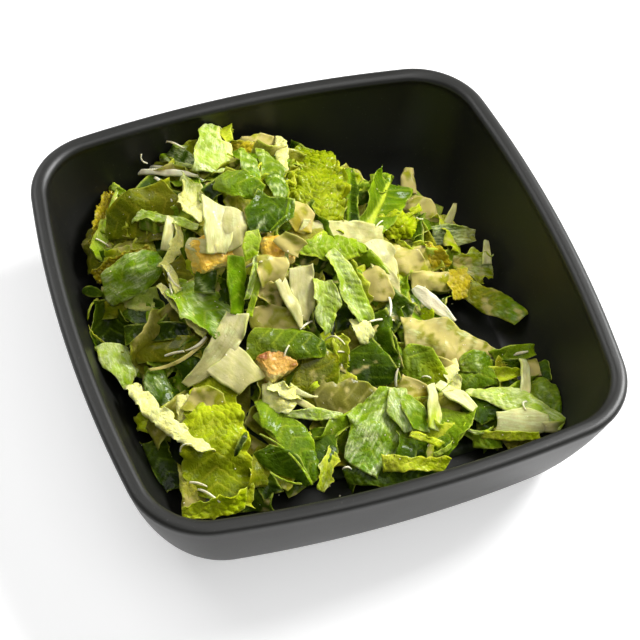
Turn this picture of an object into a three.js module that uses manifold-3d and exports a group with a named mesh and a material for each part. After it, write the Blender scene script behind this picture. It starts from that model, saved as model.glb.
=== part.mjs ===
// A caesar salad in a square black bowl, in millimetres, +Z up.
// The origin is on the table, under the middle of the bowl, and the bowl's sides run along X and Y.
import * as THREE from 'three';
import { mergeVertices } from 'three/addons/utils/BufferGeometryUtils.js';
import Module from 'manifold-3d';

const wasm = await Module();
wasm.setup();

// ---- driving dimensions ----
const BOWL_SIDE = 210; // across the rim, from side to side
const BOWL_HEIGHT = 56;
const SIDE_BOW_RADIUS = 536; // the sides bow outwards on this large arc
const CORNER_RADIUS = 31.4; // outer corner at the rim
const OUTER_CORNER_TIGHTENING = 0.32; // corner radius lost for each millimetre the outside is set in
const INNER_CORNER_EASING = 0.08; // corner radius gained for each millimetre the inside is set in
const RIM_WIDTH = 6.5;
const RIM_ROUNDING = 2.4; // width of the rounded outer edge of the rim
const INNER_EDGE_CHAMFER = 1;
const WALL_LEAN = 19.6; // how far the base is set in from the rim
const WALL_CURVE = 1.23; // 1 is a straight wall, 2 an elliptic one
const INNER_LEAN = 22; // how far the inner floor's edge is set in from the rim's inner edge
const INNER_CURVE = 1.5;
const FLOOR_HEIGHT = 6; // the inner floor above the table
const RECESS_HEIGHT = 2.4; // the hollow under the foot ring
const FOOT_WIDTH = 5;
const FIT_GAP = 0.35; // between pieces that rest on each other
const HEADROOM = 40; // how far the room for the salad reaches over the rim
const SALAD_PEAK = [-20, 42]; // the heap's highest place, in plan
const SALAD_LOW = 15; // general level of the leaves
const SALAD_RISE = 44; // how far the peak stands above that level
const SALAD_SPREAD = [56, 60]; // width of the peak along x and y
const CORE_DEPTH = 1; // the packed core's top under the level of the leaves
const EDGE_DROP = 0.55; // how far the core falls towards the floor at its edge, as a share
const LEAF_SINK = 3.5; // how deep the leaves are pressed into the core
const CORE_BUMP = 1.6; // height of the soft bumps on the core
const LEAF_THICKNESS = 1.3;
const RIB_THICKNESS = 2.4;
const LONG_LEAF = 26; // a longer leaf has one more row of faces
const WIDE_LEAF = 11; // a wider leaf has one more column of faces
const LEAF_ARCH = 0.07; // rise of a leaf's middle, as a share of its length
const LEAF_WAVE = 0.05; // height of its margin's waves, as a share of its width
const LEAF_RAGGED = 0.07; // unevenness of its outline, as a share of its width
const CROUTON_WEAR = 0.45; // how far a crouton's corners are worn towards a ball
const CROUTON_UNEVEN = 0.05;

// ---- finishes ----
const finish = (color, roughness) => new THREE.MeshStandardMaterial({ color, roughness, metalness: 0 });
const blackGlaze = finish(0x23231f, 0.45);
const lettuceGreen = finish(0x6c8a1d, 0.4);
const toastedBread = finish(0xc98a35, 0.8);
const paleCheese = finish(0xf0e8c8, 0.55);

// ---- meshes from rings and grids ----

// Points of a square with bowed sides and round corners: eight arcs that meet on shared tangents.
function roundedSquare(half, sideRadius, cornerRadius) {
  const sideSteps = 6;
  const cornerSteps = 5;
  const sideCentre = half - sideRadius;
  const reach = 4 * sideCentre ** 2 - 8 * (sideCentre ** 2 - (sideRadius - cornerRadius) ** 2);
  const cornerCentre = (2 * sideCentre + Math.sqrt(reach)) / 4;
  const turn = Math.atan2(cornerCentre, cornerCentre - sideCentre);
  const side = new THREE.ArcCurve(sideCentre, 0, sideRadius, -turn, turn, false).getPoints(sideSteps);
  const corner = new THREE.ArcCurve(cornerCentre, cornerCentre, cornerRadius, turn, Math.PI / 2 - turn, false)
    .getPoints(cornerSteps);
  const quarter = [...side.slice(0, -1), ...corner.slice(0, -1)];
  const around = new THREE.Vector2(0, 0);
  return [0, 1, 2, 3].flatMap((k) => quarter.map((p) => p.clone().rotateAround(around, (k * Math.PI) / 2)));
}

// A closed solid skinned over rings of equal length, with a fan over each end.
function loft(rings) {
  const count = rings[0].length;
  const positions = rings.flatMap((ring) => ring.flatMap((p) => [p.x, p.y, p.z]));
  const index = [];
  for (let r = 0; r + 1 < rings.length; r += 1) {
    for (let k = 0; k < count; k += 1) {
      const a = r * count + k;
      const b = r * count + ((k + 1) % count);
      index.push(a, b, b + count, a, b + count, a + count);
    }
  }
  const addCap = (ring, first, turned) => {
    const centre = new THREE.Vector3();
    ring.forEach((p) => centre.addScaledVector(p, 1 / count));
    const tip = positions.length / 3;
    positions.push(centre.x, centre.y, centre.z);
    for (let k = 0; k < count; k += 1) {
      const a = first + k;
      const b = first + ((k + 1) % count);
      index.push(...(turned ? [tip, b, a] : [tip, a, b]));
    }
  };
  addCap(rings[0], 0, true);
  addCap(rings[rings.length - 1], (rings.length - 1) * count, false);
  return meshGeometry(positions, index);
}

function meshGeometry(positions, index) {
  const geometry = new THREE.BufferGeometry();
  geometry.setAttribute('position', new THREE.Float32BufferAttribute(positions, 3));
  geometry.setIndex(index);
  return geometry;
}

function bareMerged(geometry) {
  const bare = geometry.clone();
  bare.deleteAttribute('normal');
  bare.deleteAttribute('uv');
  return mergeVertices(bare, 1e-4);
}

function toSolid(geometry) {
  const merged = bareMerged(geometry);
  return new wasm.Manifold(new wasm.Mesh({
    numProp: 3,
    vertProperties: new Float32Array(merged.attributes.position.array),
    triVerts: new Uint32Array(merged.index.array),
  }));
}

function toGeometry(solid) {
  const mesh = solid.getMesh();
  return meshGeometry(Array.from(mesh.vertProperties), Array.from(mesh.triVerts));
}

function named(name, geometry, material) {
  geometry.computeVertexNormals();
  const mesh = new THREE.Mesh(geometry, material);
  mesh.name = name;
  return mesh;
}

// ---- the bowl ----

// A curve from 0 at the rim to 1 at the foot of a wall, steeper near the foot.
const wallCurve = (depth, power) => 1 - (1 - depth ** power) ** (1 / power);

// The corners stay rounder than a plain offset on the outside, and follow the rim on the inside.
function outerRing(inset, z) {
  const half = BOWL_SIDE / 2 - inset;
  const corner = CORNER_RADIUS - OUTER_CORNER_TIGHTENING * inset;
  return roundedSquare(half, SIDE_BOW_RADIUS - inset, corner).map((p) => new THREE.Vector3(p.x, p.y, z));
}

function innerRing(inset, z) {
  const half = BOWL_SIDE / 2 - inset;
  const corner = CORNER_RADIUS - RIM_WIDTH + INNER_CORNER_EASING * inset;
  return roundedSquare(half, SIDE_BOW_RADIUS - inset, corner).map((p) => new THREE.Vector3(p.x, p.y, z));
}

// Inner wall rings from the rim's inner edge down to the floor, set in by a further gap.
function innerWall(gap) {
  const top = BOWL_HEIGHT - INNER_EDGE_CHAMFER;
  const depths = [0, 0.16, 0.36, 0.56, 0.73, 0.87, 0.96, 1];
  return depths.map((depth) => {
    const inset = RIM_WIDTH + INNER_LEAN * wallCurve(depth, INNER_CURVE);
    return innerRing(inset + gap, top - depth * (top - FLOOR_HEIGHT - gap));
  });
}

function bowlGeometry() {
  const foot = WALL_LEAN + FOOT_WIDTH;
  const underside = [
    outerRing(foot + 2, RECESS_HEIGHT),
    outerRing(foot, 0),
    outerRing(WALL_LEAN, 0),
  ];
  const depths = [0.97, 0.89, 0.75, 0.57, 0.39, 0.21, 0.09];
  const outside = depths.map((depth) => {
    const inset = WALL_LEAN * wallCurve(depth, WALL_CURVE);
    return outerRing(inset, BOWL_HEIGHT * (1 - depth));
  });
  const rim = [
    outerRing(0, BOWL_HEIGHT - 0.65 * RIM_ROUNDING),
    outerRing(0.35 * RIM_ROUNDING, BOWL_HEIGHT - 0.15 * RIM_ROUNDING),
    outerRing(RIM_ROUNDING, BOWL_HEIGHT),
    innerRing(RIM_WIDTH - INNER_EDGE_CHAMFER, BOWL_HEIGHT - 0.2),
  ];
  return loft([...underside, ...outside, ...rim, ...innerWall(0)]);
}

// The room inside the bowl, kept a gap clear of its wall and floor and open upwards.
function cavityGeometry() {
  const wall = innerWall(FIT_GAP);
  const above = wall[0].map((p) => new THREE.Vector3(p.x, p.y, p.z + HEADROOM));
  return loft([...wall.reverse(), above]);
}

// ---- the salad ----

function heapHeight(x, y) {
  const across = (x - SALAD_PEAK[0]) / SALAD_SPREAD[0];
  const along = (y - SALAD_PEAK[1]) / SALAD_SPREAD[1];
  return SALAD_LOW + SALAD_RISE * Math.exp(-(across ** 2) - along ** 2);
}

// Where the packed leaves end on the bowl's floor, going round in plan.
const HEAP_EDGE = [
  [86, -46], [62, -30], [48, -10], [66, 2], [80, 12], [76, 38], [68, 60], [44, 72], [16, 88], [-20, 92],
  [-52, 88], [-74, 74], [-84, 44], [-86, 8], [-84, -26],
  [-76, -66], [-44, -70], [-10, -72], [28, -76], [80, -74],
];

// The packed core: rings that shrink from the heap's edge to its middle, with soft bumps on top. It
// runs below the bowl's floor, and the room inside the bowl cuts it to shape.
function coreGeometry() {
  const spokes = 40;
  const middle = new THREE.Vector2(-6, 8);
  const corners = HEAP_EDGE.map(([x, y]) => new THREE.Vector3(x, y, 0));
  const edge = new THREE.CatmullRomCurve3(corners, true).getSpacedPoints(spokes).slice(0, -1).reverse();
  const ringAt = (share, height) => edge.map((p) => {
    const x = middle.x + (p.x - middle.x) * share;
    const y = middle.y + (p.y - middle.y) * share;
    return new THREE.Vector3(x, y, height(x, y));
  });
  const topHeight = (share) => (x, y) => {
    const bump = CORE_BUMP * Math.sin(x * 0.21 + 1.3) * Math.sin(y * 0.19 + 0.4);
    const top = heapHeight(x, y) - CORE_DEPTH + bump;
    return FLOOR_HEIGHT + (top - FLOOR_HEIGHT) * (1 - EDGE_DROP * share ** 8);
  };
  const shares = [0.12, 0.3, 0.5, 0.68, 0.84, 1];
  const top = shares.map((share) => ringAt(share, topHeight(share)));
  const foot = ringAt(1, () => 0);
  const bottom = ringAt(0.5, () => 0);
  return loft([...top, foot, bottom].map((ring) => ring.reverse()).reverse());
}

// Half-width of a leaf along its length, as a share of its full half-width.
const LEAF_SHAPES = {
  cut: [[0, 0.8], [0.12, 0.95], [0.5, 1], [0.88, 0.95], [1, 0.8]],
  oval: [[0, 0.35], [0.1, 0.62], [0.3, 0.92], [0.6, 1], [0.85, 0.72], [1, 0.25]],
  blade: [[0, 0.45], [0.15, 0.8], [0.4, 1], [0.7, 0.75], [1, 0.15]],
  fan: [[0, 0.35], [0.3, 0.65], [0.7, 0.95], [0.92, 1], [1, 0.8]],
};

function shareAt(shape, u) {
  const stops = LEAF_SHAPES[shape];
  const k = Math.max(1, stops.findIndex(([at]) => at >= u));
  const [from, a] = stops[k - 1];
  const [to, b] = stops[k];
  return THREE.MathUtils.mapLinear(u, from, to, a, b);
}

// The way to the front of the bowl, where most leaves lean to.
const FRONT = THREE.MathUtils.degToRad(-113);

// A leaf, rib or strip: a thin wavy solid from a base to a tip. Places are x, y and the lift over the
// heap, lean is the tilt of its face from level, and both faces are split into triangles alike. A
// margin makes it larger all round.
function leafGeometry({ base, tip, width, lean, shape, thickness }, margin = 0) {
  const place = ([x, y, lift]) => new THREE.Vector3(x, y, heapHeight(x, y) + lift - LEAF_SINK);
  const start = place(base);
  const along = place(tip).sub(start);
  const length = along.length();
  along.normalize();
  const tilt = THREE.MathUtils.degToRad(lean);
  const face = new THREE.Vector3(Math.cos(FRONT), Math.sin(FRONT), 0).multiplyScalar(Math.sin(tilt));
  face.setZ(Math.cos(tilt));
  face.addScaledVector(along, -face.dot(along)).normalize();
  const across = new THREE.Vector3().crossVectors(face, along);
  const rows = length > LONG_LEAF ? 5 : 4;
  const columns = width > WIDE_LEAF ? 3 : 2;
  const phase = start.x * 0.7 + start.y * 0.3; // its own waves for each leaf
  const positions = [];
  for (const side of [-0.5, 0.5]) {
    for (let i = 0; i <= rows; i += 1) {
      const u = i / rows;
      for (let j = 0; j <= columns; j += 1) {
        const v = (2 * j) / columns - 1;
        const ragged = 1 + LEAF_RAGGED * Math.sin(9 * u + phase + 2 * v);
        const halfWidth = 0.5 * width * shareAt(shape, u) * ragged + margin;
        const arch = LEAF_ARCH * length * 4 * u * (1 - u);
        const wave = LEAF_WAVE * width * Math.abs(v) * Math.sin(7 * u + phase + 1.7 * v);
        const p = start.clone().addScaledVector(along, u * length + (2 * u - 1) * margin);
        p.addScaledVector(across, v * halfWidth);
        p.addScaledVector(face, arch + wave + side * (thickness + 2 * margin));
        positions.push(p.x, p.y, p.z);
      }
    }
  }
  return meshGeometry(positions, slabIndex(rows, columns));
}

// Triangles of a slab of two like grids: lower face, upper face and the rim between them.
function slabIndex(rows, columns) {
  const index = [];
  const wide = columns + 1;
  const upper = (rows + 1) * wide;
  for (let i = 0; i < rows; i += 1) {
    for (let j = 0; j < columns; j += 1) {
      const a = i * wide + j;
      const b = a + 1;
      const c = a + wide;
      const d = c + 1;
      index.push(a, b, d, a, d, c);
      index.push(upper + a, upper + d, upper + b, upper + a, upper + c, upper + d);
    }
  }
  const rim = [];
  for (let j = 0; j < columns; j += 1) rim.push(j);
  for (let i = 0; i < rows; i += 1) rim.push(i * wide + columns);
  for (let j = columns; j > 0; j -= 1) rim.push(rows * wide + j);
  for (let i = rows; i > 0; i -= 1) rim.push(i * wide);
  rim.forEach((a, k) => {
    const b = rim[(k + 1) % rim.length];
    index.push(a, a + upper, b + upper, a, b + upper, b);
  });
  return index;
}

// The leaves that show: base and tip (x, y, lift over the heap), width, lean, shape.
const LEAVES = [
  // back left, from the standing leaf round to the left wall
  [[-12, 72, 2], [-21, 92, 14], 23, 40, 'fan'],
  [[-10, 83, 3], [-15, 89, 21], 9, 50, 'cut'],
  [[-24, 84, 2], [-42, 88, 12], 14, 45, 'cut'],
  [[-43, 80, 0], [-71, 60, 1], 33, 28, 'oval'],
  [[-63, 88, -3], [-78, 64, -2], 12, 45, 'cut'],
  [[-31, 49, 5], [-28, 26, 4], 17, 35, 'cut'],
  [[-37, 74, 3], [-37, 50, 3], 9, 30, 'cut'],
  [[-47, 53, 4], [-53, 31, 4], 7, 40, 'cut'],
  [[-58, 46, 1], [-80, 45, 1], 12, 45, 'cut'],
  [[-58, 35, 3], [-80, 32, 3], 21, 42, 'oval'],
  [[-80, 30, 4], [-76, 8, 4], 22, 10, 'oval'],
  [[-77, 10, 0], [-50, 10, 1], 16, 40, 'cut'],
  [[-58, 18, 3], [-37, -1, 4], 20, 35, 'cut'],
  [[-85, 12, 0], [-81, -9, -3], 18, 30, 'blade'],
  [[-75, -9, 1], [-60, -16, 2], 20, 30, 'cut'],
  [[-62, -14, 2], [-36, -2, 4], 14, 35, 'cut'],
  [[-81, -8, 3], [-62, -41, 6], 11, 40, 'cut'],
  [[-53, -14, 3], [-61, -66, 0], 34, 30, 'fan'],
  [[-76, -63, 0], [-53, -69, 3], 12, 55, 'cut'],
  [[-39, -42, 3], [-22, -71, 0], 24, 25, 'oval'],
  [[-13, -57, 3], [-18, -73, -1], 10, 30, 'cut'],
  [[20, -42, 6], [-2, -66, 2], 30, 25, 'cut'],
  [[-28, -42, 3], [-4, -45, 3], 6, 40, 'blade'],
  [[3, -68, 4], [31, -75, 3], 7, 45, 'cut'],
  [[31, -71, 0], [49, -61, 3], 14, 30, 'cut'],
  [[30, -16, 5], [69, -30, 2], 22, 32, 'blade'],
  [[25, -28, 3], [44, -38, 3], 13, 35, 'cut'],
  [[68, -36, 4], [86, -35, 4], 9, 40, 'cut'],
  [[63, -41, 4], [78, -44, 4], 9, 40, 'cut'],
  [[80, -45, 4], [84, -70, 1], 17, 30, 'cut'],
  [[65, 9, -1], [87, -17, -3], 14, 35, 'cut'],
  [[50, 12, 3], [64, 4, 2], 15, 35, 'cut'],
  [[71, 17, 2], [85, 10, 2], 17, 35, 'cut'],
  [[61, 32, 3], [82, 29, 4], 11, 40, 'cut'],
  [[60, 52, 2], [71, 36, 2], 18, 35, 'cut'],
  [[45, 44, 4], [60, 35, 4], 17, 40, 'cut'],
  [[65, 56, -2], [67, 67, 9], 8, 45, 'blade'],
  [[46, 50, 3], [67, 57, 3], 9, 45, 'cut'],
  [[33, 38, 3], [47, 66, 5], 15, 35, 'cut'],
  [[33, 58, 3], [46, 66, 4], 13, 40, 'cut'],
  [[17, 40, 3], [20, 84, 5], 27, 32, 'cut'],
  [[-5, 85, 3], [13, 83, 4], 13, 50, 'cut'],
  [[-8, 78, 3], [-4, 56, 5], 11, 35, 'cut'],
  [[-1, 78, 3], [4, 48, 4], 12, 35, 'cut'],
  [[-29, 60, 4], [-11, 55, 4], 11, 40, 'cut'],
  [[-25, 43, 4], [-2, 32, 6], 22, 33, 'cut'],
  [[-1, 20, 3], [28, 24, 3], 14, 32, 'cut'],
  [[7, 31, 4], [35, 29, 4], 8, 40, 'cut'],
  [[35, 30, 4], [44, 0, 4], 12, 32, 'cut'],
  [[61, 29, 2], [69, 18, 2], 11, 35, 'cut'],
  [[10, 19, 5], [19, -17, 4], 9, 32, 'cut'],
  [[3, 9, 4], [4, -13, 4], 11, 32, 'cut'],
  [[-6, 12, 3], [-5, -9, 3], 11, 32, 'cut'],
  [[-32, 19, 4], [-32, -2, 4], 8, 25, 'cut'],
  [[-33, -13, 3], [-3, -17, 3], 17, 30, 'cut'],
  [[-12, -34, 2], [6, -43, 2], 20, 32, 'cut'],
  [[22, -13, 2], [31, -35, 2], 13, 32, 'cut'],
  // leaves that face the back wall
  [[-56, 86, 1], [-36, 90, 2], 15, -40, 'cut'],
  [[-30, 87, 0], [-8, 88, 1], 15, -45, 'cut'],
  [[6, 88, 2], [26, 84, 2], 15, -40, 'cut'],
  [[30, 78, 2], [46, 68, 3], 14, -35, 'cut'],
  [[44, 60, 3], [58, 52, 3], 13, -35, 'cut'],
  [[-78, 74, 1], [-64, 80, 2], 13, -40, 'cut'],
];

// Thick pale ribs and the stouter shreds of cheese that lie on the leaves, in the same terms.
const RIBS = [
  [[-39, -8, 4], [-43, -28, 4], 20, 32, 'cut'],
  [[-16, 8, 4], [-9, -10, 4], 8, 35, 'blade'],
  [[-23, -28, 3], [-28, -39, 3], 16, 35, 'cut'],
  [[34, -45, 3], [31, -61, 2], 7, 35, 'cut'],
  [[42, -37, 5], [46, -49, 5], 9, 35, 'cut'],
  [[53, -50, 6], [80, -73, 4], 20, 35, 'cut'],
];

function leafSolids() {
  const leaves = LEAVES.map((row) => [...row, LEAF_THICKNESS]);
  const ribs = RIBS.map((row) => [...row, RIB_THICKNESS]);
  return [...leaves, ...ribs].map(([base, tip, width, lean, shape, thickness]) => (
    toSolid(leafGeometry({ base, tip, width, lean, shape, thickness }))
  ));
}

// ---- toppings ----

// A toasted cube of bread with worn corners and uneven faces, larger by a margin where asked.
function croutonGeometry({ place, size, turn }, margin = 0) {
  const geometry = bareMerged(new THREE.BoxGeometry(1, 1, 1, 3, 3, 3));
  const position = geometry.attributes.position;
  const p = new THREE.Vector3();
  for (let i = 0; i < position.count; i += 1) {
    p.fromBufferAttribute(position, i);
    const ball = p.clone().normalize().multiplyScalar(0.62);
    p.lerp(ball, CROUTON_WEAR);
    p.multiplyScalar(1 + CROUTON_UNEVEN * Math.sin(17 * p.x + 11 * p.y + 5 * p.z + size[0]));
    position.setXYZ(i, p.x, p.y, p.z);
  }
  const [x, y, lift] = place;
  const grown = size.map((side) => side + 2 * margin);
  geometry.scale(...grown);
  geometry.rotateX(turn[0]).rotateZ(turn[1]);
  geometry.translate(x, y, heapHeight(x, y) + lift);
  return geometry;
}

const CROUTONS = [
  { place: [-38, 25, 2], size: [15, 12, 12], turn: [0.5, 0.2] },
  { place: [-12, 19, 1.5], size: [13, 12, 13], turn: [0.6, -0.1] },
  { place: [-25, -20, 3], size: [14, 12, 11], turn: [0.4, 0.3] },
];

// A thin shard and a long shred of hard cheese, each tapering to its tip.
const CHEESE = [
  { base: [44, 4, 5], tip: [56, -15, 6], width: 7, lean: 45, shape: 'blade', thickness: 1.6 },
  { base: [-50, 88, 5], tip: [-32, 64, 5], width: 3.4, lean: 40, shape: 'blade', thickness: 1.8 },
];

// ---- putting the salad together ----

function saladGeometry() {
  const heap = wasm.Manifold.union([toSolid(coreGeometry()), ...leafSolids()]);
  const room = toSolid(cavityGeometry());
  const seats = [
    ...CROUTONS.map((crouton) => toSolid(croutonGeometry(crouton, FIT_GAP))),
    ...CHEESE.map((piece) => toSolid(leafGeometry(piece, FIT_GAP))),
  ];
  const fitted = seats.reduce((solid, seat) => solid.subtract(seat), heap.intersect(room));
  const pieces = fitted.decompose().sort((a, b) => b.volume() - a.volume());
  return toGeometry(pieces[0]);
}

const caesarSalad = new THREE.Group();
caesarSalad.add(named('bowl', bowlGeometry(), blackGlaze));
caesarSalad.add(named('salad', saladGeometry(), lettuceGreen));
CROUTONS.forEach((crouton, k) => {
  caesarSalad.add(named(`crouton_${k + 1}`, croutonGeometry(crouton), toastedBread));
});
CHEESE.forEach((piece, k) => {
  caesarSalad.add(named(`cheese_${k + 1}`, leafGeometry(piece), paleCheese));
});

export default caesarSalad;
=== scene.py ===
# %% [markdown]
# # A caesar salad in a square black bowl
#
# The salad is a heap of cut romaine lettuce, some of it dark and glossy, some puckered and yellow-green, some
# thick and pale. Croutons, shards and shreds of hard cheese and a creamy dressing lie on it. The bowl is
# square with bowed sides and round corners, and has a satin black glaze.
#
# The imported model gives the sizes: one bowl, one plain solid for the whole heap, three croutons and two
# pieces of cheese. Each of them is replaced here by a finely modelled piece in the same place. All places are
# in metres, with the origin on the table under the middle of the bowl.

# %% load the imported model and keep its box
import math
from types import SimpleNamespace

import bmesh
import bpy
import numpy as np
from mathutils import Matrix, Vector
from mathutils.bvhtree import BVHTree


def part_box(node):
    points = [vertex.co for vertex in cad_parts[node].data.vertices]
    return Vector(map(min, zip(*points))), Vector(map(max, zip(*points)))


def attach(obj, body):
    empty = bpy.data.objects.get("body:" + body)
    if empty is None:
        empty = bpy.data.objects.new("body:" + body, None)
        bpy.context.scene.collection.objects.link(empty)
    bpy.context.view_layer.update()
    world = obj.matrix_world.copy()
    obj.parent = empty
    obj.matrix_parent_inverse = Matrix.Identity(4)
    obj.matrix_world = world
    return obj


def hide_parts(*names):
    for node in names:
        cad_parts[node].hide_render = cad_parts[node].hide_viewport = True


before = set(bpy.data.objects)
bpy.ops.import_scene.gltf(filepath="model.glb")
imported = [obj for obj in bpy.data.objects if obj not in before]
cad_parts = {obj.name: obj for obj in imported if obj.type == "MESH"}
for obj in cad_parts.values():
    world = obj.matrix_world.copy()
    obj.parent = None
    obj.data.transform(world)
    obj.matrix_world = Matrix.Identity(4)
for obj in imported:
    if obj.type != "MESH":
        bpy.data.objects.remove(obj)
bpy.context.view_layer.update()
MM = 0.001

# %% [markdown]
# ## The camera, the floor and the light
#
# The bowl is seen from well above, from its front left corner, and the picture is turned a little. The camera
# is far away with a long lens, so that the sides of the bowl stay nearly parallel. Its matrix is written from
# three directions: right, up and backwards. The same matrix gives the line of sight to any place in the
# picture, which is 640 by 640, and most small things are placed along such lines.
#
# A pale floor lies under the bowl. The main light is a large soft one on the right, at about forty degrees.
# It lays sheen on the wet leaves that lean that way, draws a line of light along the rim, and leaves the
# glaze inside the bowl nearly black, because no horizontal surface mirrors it into the camera. Weaker soft
# lights stand over the front and behind the left. The world is white near the horizon, as paper walls are,
# and dim above, so that outer edges catch a line of light and the hollows between leaves stay dark.

# %% the camera
VIEW_TARGET = Vector((-7.6, -20.4, 56.0)) * MM
VIEW_DISTANCE = 0.7106
VIEW_ELEVATION = math.radians(53.03)
VIEW_AZIMUTH = math.radians(23.6)
VIEW_ROLL = math.radians(5.53)
LENS = 102.24
SENSOR = 36
PICTURE = 640
FOCAL = LENS / SENSOR * PICTURE


def view_matrix():
    level = math.cos(VIEW_ELEVATION)
    ahead = (math.sin(VIEW_AZIMUTH) * level, math.cos(VIEW_AZIMUTH) * level, -math.sin(VIEW_ELEVATION))
    forward = Vector(ahead)
    right = forward.cross(Vector((0, 0, 1))).normalized()
    up = right.cross(forward)
    turned_right = math.cos(VIEW_ROLL) * right + math.sin(VIEW_ROLL) * up
    turned_up = math.cos(VIEW_ROLL) * up - math.sin(VIEW_ROLL) * right
    place = VIEW_TARGET - forward * VIEW_DISTANCE
    columns = Matrix((turned_right, turned_up, -forward)).transposed()
    return Matrix.Translation(place) @ columns.to_4x4()


camera_data = bpy.data.cameras.new("view")
camera_data.lens = LENS
camera_data.sensor_width = SENSOR
camera = bpy.data.objects.new("view", camera_data)
bpy.context.scene.collection.objects.link(camera)
VIEW = view_matrix()
camera.matrix_world = VIEW
bpy.context.scene.camera = camera
print("the camera stands at", [round(c, 3) for c in VIEW.translation])


# %% a line of sight
def sight(across, down):
    """The eye, and the direction in which it sees a place of its picture, counted from the upper left."""
    direction = Vector(((across - PICTURE / 2) / FOCAL, (PICTURE / 2 - down) / FOCAL, -1))
    return VIEW.translation, (VIEW.to_3x3() @ direction).normalized()


print("one millimetre at the bowl shows as", round(FOCAL * MM / VIEW_DISTANCE, 2), "pixels")


# %% the lights
def soft_light(name, azimuth, elevation, distance, side, watts):
    """A square light that faces the bowl. The azimuth counts from +X towards +Y, in degrees."""
    turn, climb = math.radians(azimuth), math.radians(elevation)
    level = math.cos(climb) * distance
    place = Vector((level * math.cos(turn), level * math.sin(turn), math.sin(climb) * distance))
    data = bpy.data.lights.new(name, "AREA")
    data.size = side
    data.energy = watts
    lamp = bpy.data.objects.new(name, data)
    bpy.context.scene.collection.objects.link(lamp)
    lamp.location = place
    lamp.rotation_euler = (-place).to_track_quat("-Z", "Y").to_euler()


LIGHTS = {
    "key_right": dict(azimuth=14, elevation=44, distance=1.3, side=0.5, watts=27.0),
    "over_the_front": dict(azimuth=-80, elevation=72, distance=1.3, side=0.9, watts=5.0),
    "behind_left": dict(azimuth=118, elevation=46, distance=1.4, side=0.9, watts=8.0),
}
for name, light in LIGHTS.items():
    soft_light(name, **light)
bpy.context.scene.view_settings.view_transform = "Standard"
print(len(LIGHTS), "soft lights stand round the bowl")

# %% the floor
FLOOR_SIDE = 8.0
FLOOR_DROP = 0.0001


def deselect_all():
    bpy.ops.object.select_all(action="DESELECT")


deselect_all()
bpy.ops.mesh.primitive_plane_add(size=FLOOR_SIDE, location=(0, 0, -FLOOR_DROP))
floor = bpy.context.object
floor.name = "floor"
bpy.ops.object.transform_apply(location=True, rotation=True, scale=True)
print("the floor is", FLOOR_SIDE, "m wide")

# %% [markdown]
# ## A small language for finishes
#
# Shader maths reads best as plain expressions. `Patch` wraps one output socket, and adding, subtracting or
# multiplying patches adds the Math nodes. `Finish` is one material: `add` makes any other node from its type,
# its settings and its inputs. Colours are mixed by `blend`, because a Math node would turn them grey.


# %% the two classes
class Patch:
    """A value that varies over a surface, and can be used in sums."""

    def __init__(self, finish, socket):
        self.finish = finish
        self.socket = socket

    def beside(self, output):
        """Another output of the same node, by its name."""
        return Patch(self.finish, self.socket.node.outputs[output])

    def maths(self, operation, first, second):
        return self.finish.add("Math", {"operation": operation}, {0: first, 1: second})

    def __add__(self, other):
        return self.maths("ADD", self, other)

    __radd__ = __add__

    def __mul__(self, other):
        return self.maths("MULTIPLY", self, other)

    __rmul__ = __mul__

    def __sub__(self, other):
        return self.maths("SUBTRACT", self, other)

    def __rsub__(self, other):
        return self.maths("SUBTRACT", other, self)


class Finish:
    """The node tree of a material or of the world, on its way."""

    def __init__(self, owner):
        self.owner = owner
        self.owner.use_nodes = True
        self.tree = owner.node_tree

    def feed(self, socket, value):
        if isinstance(value, Patch):
            self.tree.links.new(value.socket, socket)
        else:
            socket.default_value = value

    def add(self, kind, settings=None, inputs=None, output=0):
        """A node of any type, and one of its outputs, by name or number."""
        node = self.tree.nodes.new("ShaderNode" + kind)
        for key, value in (settings or {}).items():
            setattr(node, key, value)
        for key, value in (inputs or {}).items():
            self.feed(node.inputs[key], value)
        return Patch(self, node.outputs[output])

    def place(self):
        """Where each point lies on the object, in metres."""
        return self.add("TexCoord", output="Object")

    def layer(self, name):
        """A colour that the mesh carries at each of its points."""
        return self.add("VertexColor", {"layer_name": name})

    def blend(self, share, first, second, kind="MIX"):
        """Two colours mixed by a share. A Mix node's sockets for colours are 6, 7 and, for the result, 2."""
        settings = {"data_type": "RGBA", "blend_type": kind}
        return self.add("Mix", settings, {0: share, 6: first, 7: second}, 2)

    def step(self, value, low, high):
        """0 below the low value and 1 above the high one, with a smooth rise between them."""
        settings = {"interpolation_type": "SMOOTHSTEP"}
        return self.add("MapRange", settings, {"Value": value, "From Min": low, "From Max": high})

    def noise(self, source, scale, detail=2.0, stretch=(1, 1, 1)):
        if stretch != (1, 1, 1):
            source = self.add("Mapping", None, {"Vector": source, "Scale": stretch})
        return self.add("TexNoise", None, {"Vector": source, "Scale": scale, "Detail": detail})

    def net(self, source, scale):
        """The distance to the lines of a net of uneven cells."""
        return self.add("TexVoronoi", {"feature": "DISTANCE_TO_EDGE"}, {"Vector": source, "Scale": scale})

    def bump(self, height, distance, strength):
        inputs = {"Height": height, "Distance": distance, "Strength": strength}
        return self.add("Bump", None, inputs)

    def set(self, shader="Principled BSDF", **sockets):
        for name, value in sockets.items():
            self.feed(self.tree.nodes[shader].inputs[name.replace("_", " ")], value)
        return self.owner


def new_finish(name):
    return Finish(bpy.data.materials.new(name))


def paint(red, green, blue):
    """A colour named by its screen values, as the linear colour that shaders use."""
    linear = [((c / 255 + 0.055) / 1.055) ** 2.4 if c > 10 else c / 255 / 12.92 for c in (red, green, blue)]
    return (*linear, 1.0)


# %% the world: paper walls round the table
HORIZON_LIGHT = 0.85
SKY_LIGHT = 0.06
WALL_TOP = (0.12, 0.38)


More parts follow.
